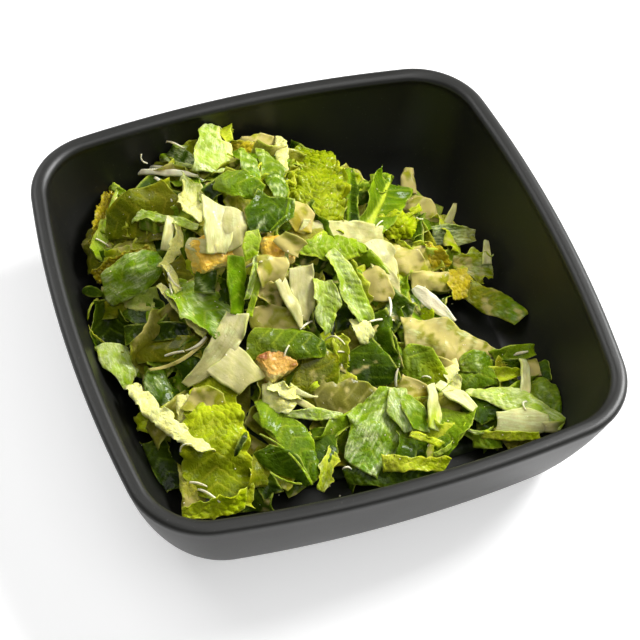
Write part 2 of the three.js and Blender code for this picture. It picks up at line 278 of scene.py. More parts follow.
def studio_world():
    walls = Finish(bpy.data.worlds.new("studio"))
    height = walls.add("SeparateXYZ", None, {0: walls.add("TexCoord", output="Generated")}, "Z")
    strength = HORIZON_LIGHT - (HORIZON_LIGHT - SKY_LIGHT) * walls.step(height, *WALL_TOP)
    return walls.set("Background", Strength=strength, Color=(1.0, 1.0, 1.0, 1.0))


bpy.context.scene.world = studio_world()
print("the world fades from", HORIZON_LIGHT, "at the horizon to", SKY_LIGHT, "above")

# %% [markdown]
# ## The bowl
#
# A square with bowed sides and round corners is eight arcs that meet on shared tangents: four long flat ones
# and four short tight ones. Every level of the bowl is such a ring. The first ring is a circle primitive
# whose vertices are set on those arcs, and the wall grows from it by extruding the open edge loop again and
# again, each new loop set on the ring of its own level. Each vertex carries the number of its spoke, which
# an extrusion copies, so no ring can twist.
#
# The rim is what shows most. It is soft all over, as a thick glaze makes it: rounded outside, a little flat
# on top, and falling away inside in a wide rounding that has no edge.

# %% the bowl's dimensions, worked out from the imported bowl
bowl_low, bowl_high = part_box("bowl")
HALF_SIDE = (bowl_high.x - bowl_low.x) / 2
BOWL_HEIGHT = bowl_high.z
SIDE_BOW_RADIUS = 536 * MM
CORNER_RADIUS = 31.4 * MM
OUTER_CORNER_TIGHTENING = 0.32
INNER_CORNER_EASING = 0.08
RIM_WIDTH = 6.5 * MM
RIM_ROUNDING = 2.4 * MM
INNER_EDGE = 1.0 * MM
INNER_TOP = BOWL_HEIGHT - INNER_EDGE
INNER_ROUNDING = 3.0 * MM
WALL_LEAN = 19.6 * MM
WALL_CURVE = 1.23
INNER_LEAN = 22 * MM
INNER_CURVE = 1.5
FLOOR_HEIGHT = 6 * MM
RECESS_HEIGHT = 2.4 * MM
FOOT_WIDTH = 5 * MM
SIDE_STEPS = 22
CORNER_STEPS = 18


def arc_centres(half, side_radius, corner_radius):
    """How far out the centres of a side arc and of a corner arc stand. Numbers or arrays will do."""
    side_centre = half - side_radius
    reach = 4 * side_centre**2 - 8 * (side_centre**2 - (side_radius - corner_radius) ** 2)
    return side_centre, (2 * side_centre + np.sqrt(reach)) / 4


def square_ring(half, side_radius, corner_radius):
    """A square with bowed sides and round corners, as complex numbers."""
    side_centre, corner_centre = arc_centres(half, side_radius, corner_radius)
    turn = math.atan2(corner_centre, corner_centre - side_centre)
    along_side = np.linspace(-turn, turn, SIDE_STEPS, endpoint=False)
    along_corner = np.linspace(turn, math.pi / 2 - turn, CORNER_STEPS, endpoint=False)
    side = side_centre + side_radius * np.exp(1j * along_side)
    corner = corner_centre * (1 + 1j) + corner_radius * np.exp(1j * along_corner)
    quarter = np.concatenate([side, corner])
    return np.concatenate([quarter * 1j**k for k in range(4)])


def outer_ring(inset):
    corner = CORNER_RADIUS - OUTER_CORNER_TIGHTENING * inset
    return square_ring(HALF_SIDE - inset, SIDE_BOW_RADIUS - inset, corner)


def inner_ring(inset):
    corner = CORNER_RADIUS - RIM_WIDTH + INNER_CORNER_EASING * inset
    return square_ring(HALF_SIDE - inset, SIDE_BOW_RADIUS - inset, corner)


def wall_curve(depth, power):
    """The share of a wall's lean that is reached at a share of its depth."""
    return 1 - (1 - depth**power) ** (1 / power)


print("a ring has", len(outer_ring(0)), "points")


# %% the levels of the bowl, from the foot up the outside, over the rim and down the inside
RECESS_SLOPE = 2 * MM
FOOT_BEVEL = 0.8 * MM
FOOT_INSET = 0.9 * MM
OUTSIDE_HEIGHTS = np.linspace(0.012, 0.93, 22) ** 1.15
RIM_FLATNESS = 0.8
RIM_OVERLAP = 0.35 * MM
RIM_DIP = 0.06 * MM
STEEPEST_INSIDE = math.pi / 2 - 0.2


def foot_levels():
    foot = WALL_LEAN + FOOT_WIDTH
    yield outer_ring(foot + RECESS_SLOPE), RECESS_HEIGHT
    for turn in np.linspace(0, math.pi / 2, 5):
        bevel = FOOT_BEVEL * (1 - math.sin(turn))
        yield outer_ring(foot + bevel), FOOT_BEVEL * (1 - math.cos(turn)) * (1 - turn / (math.pi / 2))
    yield outer_ring(WALL_LEAN + FOOT_INSET), 0.0


def outside_levels():
    for depth in 1 - OUTSIDE_HEIGHTS:
        yield outer_ring(WALL_LEAN * wall_curve(depth, WALL_CURVE)), BOWL_HEIGHT * (1 - depth)


def rim_levels():
    for turn in np.linspace(0, math.pi / 2, 9):
        inset = RIM_ROUNDING * (1 - math.cos(turn))
        yield outer_ring(inset), BOWL_HEIGHT - RIM_FLATNESS * RIM_ROUNDING * (1 - math.sin(turn))
    for turn in np.linspace(0, STEEPEST_INSIDE, 11):
        inset = RIM_WIDTH - INNER_ROUNDING * (1 - math.sin(turn)) + RIM_OVERLAP
        yield inner_ring(inset), BOWL_HEIGHT - RIM_DIP - INNER_ROUNDING * (1 - math.cos(turn))


def inside_levels():
    first = (INNER_ROUNDING - INNER_EDGE) / (INNER_TOP - FLOOR_HEIGHT)
    for share in np.linspace(0, 1, 30):
        depth = first + (1 - first) * math.sin(share * math.pi / 2)
        inset = RIM_WIDTH + INNER_LEAN * wall_curve(depth, INNER_CURVE)
        yield inner_ring(inset), INNER_TOP - depth * (INNER_TOP - FLOOR_HEIGHT)


levels = [*foot_levels(), *outside_levels(), *rim_levels(), *inside_levels()]
print("the bowl has", len(levels), "levels")


# %% grow the bowl from its first ring
FLOOR_INSET = 12 * MM
SHARP_ANGLE = math.radians(40)


def set_selected(piece, ring, heights):
    """Moves the selected points onto a ring, all to one height or each spoke to its own."""
    heights = np.broadcast_to(heights, len(ring))
    mesh = bmesh.from_edit_mesh(piece.data)
    spoke = mesh.verts.layers.int["spoke"]
    for vertex in mesh.verts:
        if vertex.select:
            point = ring[vertex[spoke]]
            vertex.co = (point.real, point.imag, heights[vertex[spoke]])
    bmesh.update_edit_mesh(piece.data)


def first_ring(name, count):
    """A ring of points that know their spoke, open and in edit mode."""
    deselect_all()
    bpy.ops.mesh.primitive_circle_add(vertices=count, radius=HALF_SIDE, fill_type="NOTHING")
    piece = bpy.context.object
    piece.name = name
    numbers = piece.data.attributes.new("spoke", "INT", "POINT")
    numbers.data.foreach_set("value", list(range(count)))
    bpy.ops.object.mode_set(mode="EDIT")
    bpy.ops.mesh.select_all(action="SELECT")
    return piece


def close_piece(piece):
    """Makes the normals face outwards, leaves edit mode and drops the spoke numbers."""
    bpy.ops.mesh.select_all(action="SELECT")
    bpy.ops.mesh.normals_make_consistent(inside=False)
    bpy.ops.object.mode_set(mode="OBJECT")
    piece.data.attributes.remove(piece.data.attributes["spoke"])


bowl = first_ring("glazed_bowl", len(levels[0][0]))
set_selected(bowl, *levels[0])
bpy.ops.mesh.edge_face_add()
for ring, height in levels[1:]:
    bpy.ops.mesh.extrude_edges_move()
    set_selected(bowl, ring, height)
bpy.ops.mesh.edge_face_add()
bpy.ops.mesh.inset(thickness=FLOOR_INSET)
close_piece(bowl)
bpy.ops.object.shade_smooth_by_angle(angle=SHARP_ANGLE)
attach(bowl, "root")
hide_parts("bowl")
print("the bowl has", len(bowl.data.polygons), "faces")


# %% [markdown]
# ## The satin black glaze
#
# The glaze is nearly black with a trace of olive, and satin: it shows the light as broad soft bands on the
# rim and no sharp reflection. Where it was handled it is a little smoother, so its roughness drifts from
# place to place. Fine grain from the firing breaks up the sheen.


# %% the glaze
def bowl_glaze():
    glaze = new_finish("bowl_glaze")
    place = glaze.place()
    drift = glaze.noise(place, 22.0, 3.0)
    grain = glaze.noise(place, 1500.0, 2.0)
    tone = glaze.blend(drift, paint(15, 15, 12), paint(24, 24, 20))
    specks = glaze.step(glaze.noise(place, 900.0, 1.0), 0.70, 0.76)
    tone = glaze.blend(specks * 0.35, tone, paint(70, 69, 64))
    return glaze.set(
        Base_Color=tone,
        Roughness=0.34 + 0.14 * drift + 0.05 * grain,
        Normal=glaze.bump(grain, 0.00003, 0.5),
        Specular_IOR_Level=0.5,
    )


bowl.data.materials.clear()
bowl.data.materials.append(bowl_glaze())
print("the glaze has", len(bowl.data.materials[0].node_tree.nodes), "nodes")

# %% [markdown]
# ## The heap and the room for it
#
# The heap is a soft hill whose top is behind and left of the middle. Every leaf is placed by its base and its
# tip, and each of them by where it shows in the picture and by how far it stands over the hill, so that it
# lies on the hill from any side. Leaves that reach the wall are pushed back by the wall, as real ones are:
# for each point the distance to the inside of the bowl is worked out from the same arcs, and what would lie
# in the wall is moved inwards.

# %% the hill under the leaves
HEAP_PEAK = (-20, 42)
HEAP_LOW = 15
HEAP_RISE = 44
HEAP_SPREAD = (56, 60)


def heap_height(x, y):
    """Height of the heap in millimetres, from a place in millimetres."""
    across = (x - HEAP_PEAK[0]) / HEAP_SPREAD[0]
    along = (y - HEAP_PEAK[1]) / HEAP_SPREAD[1]
    return HEAP_LOW + HEAP_RISE * np.exp(-(across**2) - along**2)


def inset_at(height):
    """How far the inner wall stands in from the bowl's side at a height, in metres."""
    depth = np.clip((INNER_TOP - height) / (INNER_TOP - FLOOR_HEIGHT), 0, 0.999)
    return RIM_WIDTH + INNER_LEAN * wall_curve(depth, INNER_CURVE)


def push_inside(points, gap):
    """Moves points that are in the wall or the floor of the bowl back inside, a gap clear of it."""
    x, y, z = points[..., 0], points[..., 1], np.maximum(points[..., 2], FLOOR_HEIGHT + gap)
    inset = inset_at(z)
    half = HALF_SIDE - inset - gap
    side_radius = SIDE_BOW_RADIUS - inset - gap
    corner_radius = CORNER_RADIUS - RIM_WIDTH + INNER_CORNER_EASING * inset - gap
    side_centre, corner_centre = arc_centres(half, side_radius, corner_radius)
    for _ in range(2):
        right = np.hypot(np.abs(x) - side_centre, y)
        over = np.maximum(right - side_radius, 0) * (np.abs(y) < corner_centre)
        x = x - np.sign(x) * over * (np.abs(x) - side_centre) / right
        ahead = np.hypot(x, np.abs(y) - side_centre)
        over = np.maximum(ahead - side_radius, 0) * (np.abs(x) < corner_centre)
        y = y - np.sign(y) * over * (np.abs(y) - side_centre) / ahead
        out_x = np.maximum(np.abs(x) - corner_centre, 0)
        out_y = np.maximum(np.abs(y) - corner_centre, 0)
        distance = np.hypot(out_x, out_y)
        keep = np.where(distance > corner_radius, corner_radius / np.maximum(distance, 1e-9), 1)
        in_corner = (out_x > 0) & (out_y > 0)
        x = np.where(in_corner, np.sign(x) * (corner_centre + out_x * keep), x)
        y = np.where(in_corner, np.sign(y) * (corner_centre + out_y * keep), y)
    return np.stack([x, y, z], -1)


print("the heap is", round(float(heap_height(*HEAP_PEAK))), "mm high at its peak")


# %% where a line of sight meets the heap, tried at heights from well above it down to the table
SIGHT_HEIGHTS = np.linspace(110, 0, 441)


def on_heap(across, down, lift):
    """The place that shows at a place of the picture and stands at a lift over the heap, in millimetres."""
    eye, direction = sight(across, down)
    start = np.array(eye) / MM
    line = start + np.outer((SIGHT_HEIGHTS - start[2]) / direction.z, direction)
    clear = line[:, 2] - heap_height(line[:, 0], line[:, 1]) - lift
    below = int(np.argmax(clear < 0))
    share = clear[below - 1] / (clear[below - 1] - clear[below])
    x, y, _ = line[below - 1] + share * (line[below] - line[below - 1])
    return float(x), float(y), lift


print("the middle of the picture shows", [round(c) for c in on_heap(PICTURE / 2, PICTURE / 2, 0)])

# %% [markdown]
# ## How a leaf is made
#
# A cut piece of romaine is a thin sheet with a great deal of form in it. It bends along its length, its
# section curls or folds, its margin is ruffled because it grew faster than the middle, and some margins roll
# right over. No modifier gives all of that at once, and no two pieces are alike, so the sheet is worked out
# as a grid of points, and many sheets of one kind are joined into one mesh of arrays.
#
# A sheet that bends keeps its length, so bends are given as angles and added up, step by step, along the
# spine and then outwards from it on both sides. What lies on the sheet comes after: the midrib, the side
# veins, and the domes between them. The domes come from scattered seed points: the difference of the
# distances to the two nearest seeds is zero on a vein and large inside a cell. Last, the grid gets two faces,
# a thickness and a closed rim.
#
# Two marks go with each point as attributes, for the shader: its tint, and how much vein, painted highlight
# along the cut edge, dressing and painted wet sheen there is.

# %% outlines: half-width along a leaf from base to tip
OUTLINES = {
    "cut": [(0, 0.95), (0.5, 1), (1, 0.95)],
    "oval": [(0, 0.3), (0.08, 0.55), (0.3, 0.92), (0.55, 1), (0.85, 0.72), (0.97, 0.35), (1, 0.12)],
    "blade": [(0, 0.45), (0.15, 0.8), (0.4, 1), (0.7, 0.75), (1, 0.1)],
    "tri": [(0, 1), (0.5, 0.62), (1, 0.16)],
    "finger": [(0, 0.9), (0.5, 1), (0.85, 0.8), (1, 0.35)],
}


def rise(low, high, value):
    """0 below the low value and 1 above the high one, with a smooth rise between them."""
    share = np.clip((value - low) / (high - low), 0, 1)
    return share * share * (3 - 2 * share)


def ripple(distance, rng, waves):
    """A sum of sines of (wavelength, height) with random phases."""
    total = np.zeros_like(distance)
    for wavelength, height in waves:
        total = total + height * np.sin(2 * math.pi * distance / wavelength + rng.uniform(0, 2 * math.pi))
    return total


def cells(x, y, size, rng):
    """0 on the veins and 1 inside the cells of a puckered leaf."""
    low = np.array([x.min(), y.min()]) - size
    count = np.ceil((np.array([x.max(), y.max()]) + size - low) / size).astype(int) + 1
    seeds = np.stack(np.meshgrid(np.arange(count[0]), np.arange(count[1]), indexing="ij"), -1).astype(float)
    seeds = (seeds + rng.uniform(0.12, 0.88, seeds.shape)).reshape(-1, 2) * size + low
    away = np.hypot(x[..., None] - seeds[:, 0], y[..., None] - seeds[:, 1])
    nearest = np.partition(away, 1, axis=-1)
    return np.clip((nearest[..., 1] - nearest[..., 0]) / (0.75 * size), 0, 1)


# %% [markdown]
# ### Kinds of leaf
#
# Each kind is a few plain choices: the colour of the leaf between the veins, of its ribs and of its margin,
# and how high its domes stand in millimetres. Inner leaves have a frilled margin and outer ones a smooth one.
# Waves are pairs of a wavelength and a height, and all sizes are in millimetres.
#
# A single leaf then has settings of its own. Arch lifts its middle and bow swings it sideways, in
# millimetres. Curl, fold and twist are degrees: how far its section turns, creases along the spine, and winds
# from base to tip. Rib places a midrib across it, from -1 to 1. Dressing, sheen and pale are shares: how much
# film of dressing and painted wet sheen cover it, and how pale its base is. Ruffle, pucker, wave, thick and
# tone are times the usual, and smoother takes the puckers away towards the tip. Tone is partly the leaf's own
# colour and partly painted shade, lower on pieces that lie in shade. Turns names the kind whose colour the tip
# takes.

# %% the kinds
KINDS = {
    "dark": dict(body=(50, 76, 1), pale=(116, 142, 16), margin=(88, 120, 6), pucker=0.22),
    "mid": dict(body=(92, 126, 1), pale=(184, 198, 56), margin=(150, 182, 16), pucker=0.24),
    "light": dict(body=(138, 168, 8), pale=(222, 226, 130), margin=(192, 208, 54), pucker=0.24),
    "olive": dict(body=(98, 110, 1), pale=(184, 172, 46), margin=(166, 160, 22), pucker=0.35),
    "yellow": dict(body=(166, 184, 4), pale=(228, 222, 96), margin=(214, 214, 50), pucker=0.4),
    "bullate": dict(body=(146, 164, 1), pale=(206, 204, 56), margin=(196, 202, 26), pucker=0.62),
    "golden": dict(body=(172, 154, 8), pale=(214, 196, 84), margin=(206, 190, 56), pucker=0.85),
    "cream": dict(body=(226, 224, 126), pale=(240, 236, 180), margin=(238, 234, 156), pucker=0.5),
    "rib": dict(body=(210, 202, 138), pale=(238, 234, 190), margin=(230, 224, 160), pucker=0.0),
    "dressed": dict(body=(134, 134, 22), pale=(188, 178, 96), margin=(196, 188, 112), pucker=0.12),
}
FRILLED = {"yellow", "bullate", "golden", "cream"}
FRILLS = {
    "smooth": [(15, 0.42), (8, 0.26)],
    "frilled": [(9.5, 0.8), (5.6, 0.45), (3.6, 0.15)],
}
TORN = {
    "smooth": [(23, 0.5), (7, 0.12)],
    "frilled": [(9, 0.5), (4.8, 0.35), (3.1, 0.14)],
}
CUT_END = [(22, 0.8), (9, 0.25)]
CUT_HIGHLIGHT_PATCHES = [(15, 0.6), (6, 0.4)]
SPINE_WAVES = [(17, 1.0), (9, 0.7)]
SECTION_WAVES = [(16, 1.0), (8.5, 0.5)]
FRILL_WANDER = [(11, 1.2)]
TINT_PATCHES = [(17, 0.09), (9, 0.08), (5.5, 0.06)]
MARGIN_PATCHES = [(21, 0.6), (10, 0.4)]
TURNING_EDGE = [(9, 0.08)]
STREAKS = [(3.6, 0.6), (1.9, 0.5)]
BLOTCHES = [(15, 0.42), (11, 0.38), (8, 0.34), (5.6, 0.3), (4.1, 0.24), (3.0, 0.18)]
FOLD_SHARPNESS = 7
STEEPEST_CUT = 0.4
FULLNESS = 1.12
NARROWEST = 0.3
THICKNESS = {"rib": 1.1, "dressed": 0.45}
LEAF_THICKNESS = 0.4
EDGE_THINNING = {"rib": 0.25}
LEAF_THINNING = 0.6
CELL_SIZE = {"bullate": 3.6, "golden": 2.4}
USUAL_CELL = 4.2
QUILTING = {"bullate": 0.4, "golden": 0.4, "dressed": 0.25, "cream": 0.5}
VEIN_SPACING = 6.0
VEIN_SLANT = 0.75
VEIN_WIDTH = 0.4
CUT_WIDTH = 0.36
FRONT = -113
FINE_GRAIN = {"bullate": 0.45, "golden": 0.45}
WALL_GAP = 0.3


def margin_of(kind):
    return "frilled" if kind in FRILLED else "smooth"


def shades(look):
    return {part: np.array(paint(*value)[:3]) for part, value in look.items() if isinstance(value, tuple)}


def leaf(kind, base, tip, width, lean=34, **more):
    """One leaf: base and tip are x, y and the lift over the heap, and lean is its tilt from level.

    It leans toward a direction in plan, in degrees. The width is one number, or three at the base, in the
    middle and at the tip. Slant is how far each cut end runs off square, and without it the ends are drawn.
    Grain is the side of one square of its grid, in millimetres."""
    shape = dict(kind=kind, base=base, tip=tip, width=width, lean=lean, toward=FRONT, outline="cut",
                 arch=1.5, curl=30, fold=0, twist=0, bow=0.0, rib=None, rib_width=1.2, pale=0.25,
                 dressing=0.0, frost=0.0, ruffle=1.0, pucker=1.0, smoother=0.0, wave=1.0, thick=1.0,
                 tone=1.0, grain=0.7, turns=None, slant=None)
    shape.update(more)
    if kind in FINE_GRAIN:
        shape["grain"] = min(shape["grain"], FINE_GRAIN[kind])
    return shape


def seen(kind, base, tip, width, lean=34, **more):
    """A leaf whose base and tip are named by where they show in the picture, and their lift."""
    return leaf(kind, on_heap(*base), on_heap(*tip), width, lean, **more)


def widths_along(shape, share):
    """Full widths at shares of the length, before the outline's own taper."""
    if isinstance(shape["width"], tuple):
        return np.interp(share, (0, 0.5, 1), shape["width"])
    return np.full_like(share, shape["width"])


def widest(shape):
    return float(np.max(shape["width"]))


print(len(KINDS), "kinds of leaf, of which", len(FRILLED), "are frilled")


# %% the axes, the spine and the section of a leaf
def leaf_axes(shape):
    """Where a leaf starts, its directions along, out of its face and across, and its length."""
    place = [np.array([x, y, heap_height(x, y) + lift]) for x, y, lift in (shape["base"], shape["tip"])]
    along = place[1] - place[0]
    length = np.linalg.norm(along)
    along = along / length
    lean, toward = math.radians(shape["lean"]), math.radians(shape["toward"])
    face = np.array([math.sin(lean) * math.cos(toward), math.sin(lean) * math.sin(toward), math.cos(lean)])
    face = face - along * face.dot(along)
    face = face / np.linalg.norm(face)
    return place[0], along, face, np.cross(face, along), length


def leaf_spine(shape, share, length, rng):
    """The angle of the spine and its places along and over the line from base to tip."""
    angle = math.atan(4 * shape["arch"] / length) * (1 - 2 * share)
    angle = angle + 0.13 * shape["wave"] * ripple(share * length, rng, SPINE_WAVES)
    step = length / (len(share) - 1)
    ahead = np.concatenate([[0], np.cumsum(np.cos(angle[1:]) * step)])
    above = np.concatenate([[0], np.cumsum(np.sin(angle[1:]) * step)])
    swing = math.atan2(above[-1], ahead[-1])
    stretch = length / math.hypot(ahead[-1], above[-1])
    straight_ahead = (ahead * math.cos(swing) + above * math.sin(swing)) * stretch
    straight_above = (above * math.cos(swing) - ahead * math.sin(swing)) * stretch
    return angle - swing, straight_ahead, straight_above


def leaf_section(shape, sheet, rng):
    """Places across and over the spine for each point, by adding up small turned steps from the middle."""
    v = sheet.v
    outward = np.sign(v)
    edge = rise(0.35, 1, np.abs(v))
    fold = math.radians(shape["fold"]) / 2 * np.tanh(FOLD_SHARPNESS * v)
    angle = math.radians(shape["curl"]) / 2 * v + fold
    for side in (v < 0, v > 0):
        along = sheet.x + ripple(sheet.x, rng, FRILL_WANDER)
        frill = ripple(along, rng, FRILLS[margin_of(shape["kind"])])
        angle = angle + side * outward * shape["ruffle"] * edge * frill
    angle = angle + 0.2 * shape["wave"] * ripple(sheet.y + 0.45 * sheet.x, rng, SECTION_WAVES)
    step = sheet.half / ((v.shape[1] - 1) / 2)
    middle = (v.shape[1] - 1) // 2
    across = np.cumsum(np.cos(angle) * step, axis=1)
    over = np.cumsum(np.sin(angle) * step, axis=1)
    return across - across[:, middle:middle + 1], over - over[:, middle:middle + 1]


# %% the flat sheet, and the same sheet bent into its place
def flat_sheet(shape, length, rng):
    """The grid of a leaf before it is bent, with torn margins and cut ends, in millimetres.

    Each point has its share along (u), its share across from -1 to 1 (v), its place (x, y) and the half-width
    there."""
    rows = max(6, round(length / shape["grain"]))
    columns = 2 * max(2, round(widest(shape) / shape["grain"] / 2))
    share = np.linspace(0, 1, rows + 1)
    u, v = np.meshgrid(share, np.linspace(-1, 1, columns + 1), indexing="ij")
    torn = TORN[margin_of(shape["kind"])]
    uneven = np.where(v < 0, ripple(u * length, rng, torn), ripple(u * length, rng, torn))
    half = 0.5 * FULLNESS * widths_along(shape, u) * np.interp(u, *zip(*OUTLINES[shape["outline"]]))
    half = np.maximum(half + uneven * min(1, widest(shape) / 12), NARROWEST)
    ends = [ripple(v * half, rng, CUT_END) * min(1, widest(shape) / 10) for _ in range(2)]
    slant = shape["slant"] or rng.uniform(-STEEPEST_CUT, STEEPEST_CUT, 2)
    y = v * half
    x = u * length + (1 - u) * (ends[0] + slant[0] * y) + u * (ends[1] + slant[1] * y)
    return SimpleNamespace(share=share, u=u, v=v, half=half, x=x, y=y, length=length)


def bent_sheet(shape, sheet, start, along, face, across, rng):
    """The places of the sheet's points: bent along its spine, curled across it, and twisted."""
    angle, ahead, above = leaf_spine(shape, sheet.share, sheet.length, rng)
    sideways, over = leaf_section(shape, sheet, rng)
    sideways = sideways + shape["bow"] * 4 * sheet.u * (1 - sheet.u)
    twist = math.radians(shape["twist"]) * (sheet.share - 0.5)
    tangent = np.outer(np.cos(angle), along) + np.outer(np.sin(angle), face)
    upward = np.outer(np.cos(angle), face) - np.outer(np.sin(angle), along)
    turned_side = np.cos(twist)[:, None] * across + np.sin(twist)[:, None] * upward
    turned_up = np.cos(twist)[:, None] * upward - np.sin(twist)[:, None] * across
    middle = start + np.outer(ahead, along) + np.outer(above, face)
    slide = (sheet.x - sheet.u * sheet.length)[..., None] * tangent[:, None]
    spread = sideways[..., None] * turned_side[:, None] + over[..., None] * turned_up[:, None]
    return middle[:, None] + slide + spread


# %% what lies on the sheet: veins, domes, painted highlights on cut edges, dressing and painted sheen
def add_veins(shape, sheet, rng):
    """Gives each point its share of midrib, side vein and dome, and its relief in millimetres."""
    full = KINDS[shape["kind"]]["pucker"]
    slant_x = sheet.x - VEIN_SLANT * np.abs(sheet.y)
    inside = cells(slant_x, sheet.y, CELL_SIZE.get(shape["kind"], USUAL_CELL), rng)
    beat = slant_x / VEIN_SPACING + rng.uniform(0, 1)
    to_vein = 0.5 - np.abs(beat % 1 - 0.5)
    side_vein = np.exp(-((to_vein * VEIN_SPACING * 0.8 / VEIN_WIDTH) ** 2)) * (1 - 0.6 * np.abs(sheet.v))
    rib = np.zeros_like(sheet.x)
    if shape["rib"] is not None:
        rib_width = shape["rib_width"] * (1.15 - 0.75 * sheet.u)
        rib = np.exp(-(((sheet.y - shape["rib"] * sheet.half) / rib_width) ** 2))
    pucker = full * shape["pucker"] * (1 - 0.8 * rib) * (1 - shape["smoother"] * rise(0.3, 0.7, sheet.u))
    quilt = (full > 0) * min(1, shape["pucker"]) * QUILTING.get(shape["kind"], 1.0)
    quilt = quilt * (0.3 * np.sin(math.pi * to_vein * 2) - 0.25 * side_vein)
    dome = np.sin(np.clip(inside / 0.6, 0, 1) * math.pi / 2)
    between_domes = (1 - rise(0, 0.16, inside)) * (pucker > 0.3)
    sheet.rib = rib
    sheet.dome = dome
    sheet.vein = np.maximum.reduce([rib, 0.75 * side_vein * (full > 0), 0.5 * between_domes])
    sheet.relief = pucker * (dome - 0.5) + quilt + 0.5 * rib


def leaf_thickness(shape, sheet):
    """Thickness at each point in metres: thinner at the margins, thicker along the midrib."""
    kind = shape["kind"]
    thickness = THICKNESS.get(kind, LEAF_THICKNESS) * shape["thick"]
    thinning = EDGE_THINNING.get(kind, LEAF_THINNING) * rise(0.5, 1, np.abs(sheet.v))
    return (thickness * (1 - thinning) + 0.7 * sheet.rib) * MM


def leaf_marks(shape, sheet, rng):
    """How much vein, painted highlight on the cut edge, dressing and painted wet sheen each point shows."""
    x, y = sheet.x, sheet.y
    to_side = sheet.half * (1 - np.abs(sheet.v))
    margin = np.minimum(to_side, np.minimum(sheet.u, 1 - sheet.u) * sheet.length)
    # painted highlight: a thin light line along each cut edge, broken into patches
    highlight_patches = rise(-0.6, 0.5, ripple(x + 1.7 * y, rng, CUT_HIGHLIGHT_PATCHES))
    cut = np.exp(-((margin / CUT_WIDTH) ** 2)) * highlight_patches
    pool = blotches(x, y, rng) - 0.25 * (sheet.dome - 0.5)
    patchy = blotches(x, y, rng)
    streak = 0.8 * patchy + 0.5 * ripple(y + 0.2 * x + 0.8 * patchy, rng, STREAKS)
    # the second film is a painted wet sheen: pale streaks where the leaf shines
    dressing_and_sheen = covered(shape["dressing"], pool), covered(shape["frost"], streak)
    return np.stack([sheet.vein, cut, *dressing_and_sheen], -1)


def blotches(x, y, rng):
    """An uneven field: each wave of it runs in a direction of its own."""
    total = np.zeros_like(x)
    for wave in BLOTCHES:
        turn = rng.uniform(0, math.pi)
        total = total + ripple(x * math.cos(turn) + y * math.sin(turn), rng, [wave])
    return total


def covered(amount, field):
    """How far dressing or painted sheen lies on each point, from the share it covers and an uneven field."""
    level = 0.9 - 2.2 * amount
    return rise(level - 0.4, level + 1.2, field) * (amount > 0)


def leaf_tint(shape, sheet, rng):
    """The colour of each point: the leaf's own, paler at its base and veins, lighter at its margin."""
    u, x, y = sheet.u, sheet.x, sheet.y
    own = shades(KINDS[shape["kind"]])
    colour = np.broadcast_to(own["body"], (*u.shape, 3))
    if shape["turns"]:
        other = shades(KINDS[shape["turns"]])["body"]
        turned = rise(0.3, 0.85, u + ripple(y, rng, TURNING_EDGE))[..., None]
        colour = colour * (1 - turned) + other * turned
    patchy = 1 + ripple(x + 0.7 * y, rng, TINT_PATCHES)
    # painted shade: a tone under 1 darkens pieces that lie in shade; it also varies the leaf's own colour
    colour = colour * (patchy * shape["tone"])[..., None]
    fade = np.clip((1 - u) ** 1.4 * shape["pale"] + 0.85 * sheet.rib + 0.5 * sheet.vein, 0, 1)[..., None]
    colour = colour * (1 - fade) + own["pale"] * fade
    patch = rise(-0.4, 0.6, ripple(x - y, rng, MARGIN_PATCHES))
    rim = (0.6 * patch * rise(0.45, 1, np.abs(sheet.v)) ** 2)[..., None]
    colour = colour * (1 - rim) + own["margin"] * rim
    return np.concatenate([np.clip(colour, 0, 1), np.ones_like(u)[..., None]], -1)


# %% one leaf as a sheet of points
def surface_normal(points):
    normal = np.cross(np.gradient(points, axis=0), np.gradient(points, axis=1))
    return normal / np.maximum(np.linalg.norm(normal, axis=-1, keepdims=True), 1e-12)


def leaf_sheet(shape, rng):
    """The middle points of a leaf in metres, with its tint, marks, thickness and flat places, on a grid."""
    start, along, face, across, length = leaf_axes(shape)
    sheet = flat_sheet(shape, length, rng)
    middle = bent_sheet(shape, sheet, start, along, face, across, rng)
    add_veins(shape, sheet, rng)
    middle = (middle + surface_normal(middle) * sheet.relief[..., None]) * MM
    thick = leaf_thickness(shape, sheet)
    marks = leaf_marks(shape, sheet, rng)
    tint = leaf_tint(shape, sheet, rng)
    middle = push_inside(middle, thick.max() / 2 + WALL_GAP * MM)
    return middle, tint, marks, thick, np.stack([sheet.x, sheet.y], -1)


# %% two faces and a rim round each sheet, and many leaves in one mesh
def closed_faces(rows, columns):
    """Quads of a slab of two like grids: the lower face, the upper face and the rim between them."""
    wide = columns + 1
    upper = (rows + 1) * wide
    a = (np.arange(rows)[:, None] * wide + np.arange(columns)).ravel()
    top = np.stack([a, a + wide, a + wide + 1, a + 1], -1) + upper
    bottom = np.stack([a, a + 1, a + wide + 1, a + wide], -1)
    loop = np.concatenate([
        np.arange(rows) * wide,
        rows * wide + np.arange(columns),
        (rows - np.arange(rows)) * wide + columns,
        columns - np.arange(columns),
    ])
    following = np.roll(loop, -1)
    rim = np.stack([loop, following, following + upper, loop + upper], -1)
    return np.concatenate([bottom, top, rim])


def two_faces(middle, thick):
    offset = surface_normal(middle) * (thick / 2)[..., None]
    return np.concatenate([(middle - offset).reshape(-1, 3), (middle + offset).reshape(-1, 3)])


MAP_UNIT = 0.1
MAP_SHIFT = 40


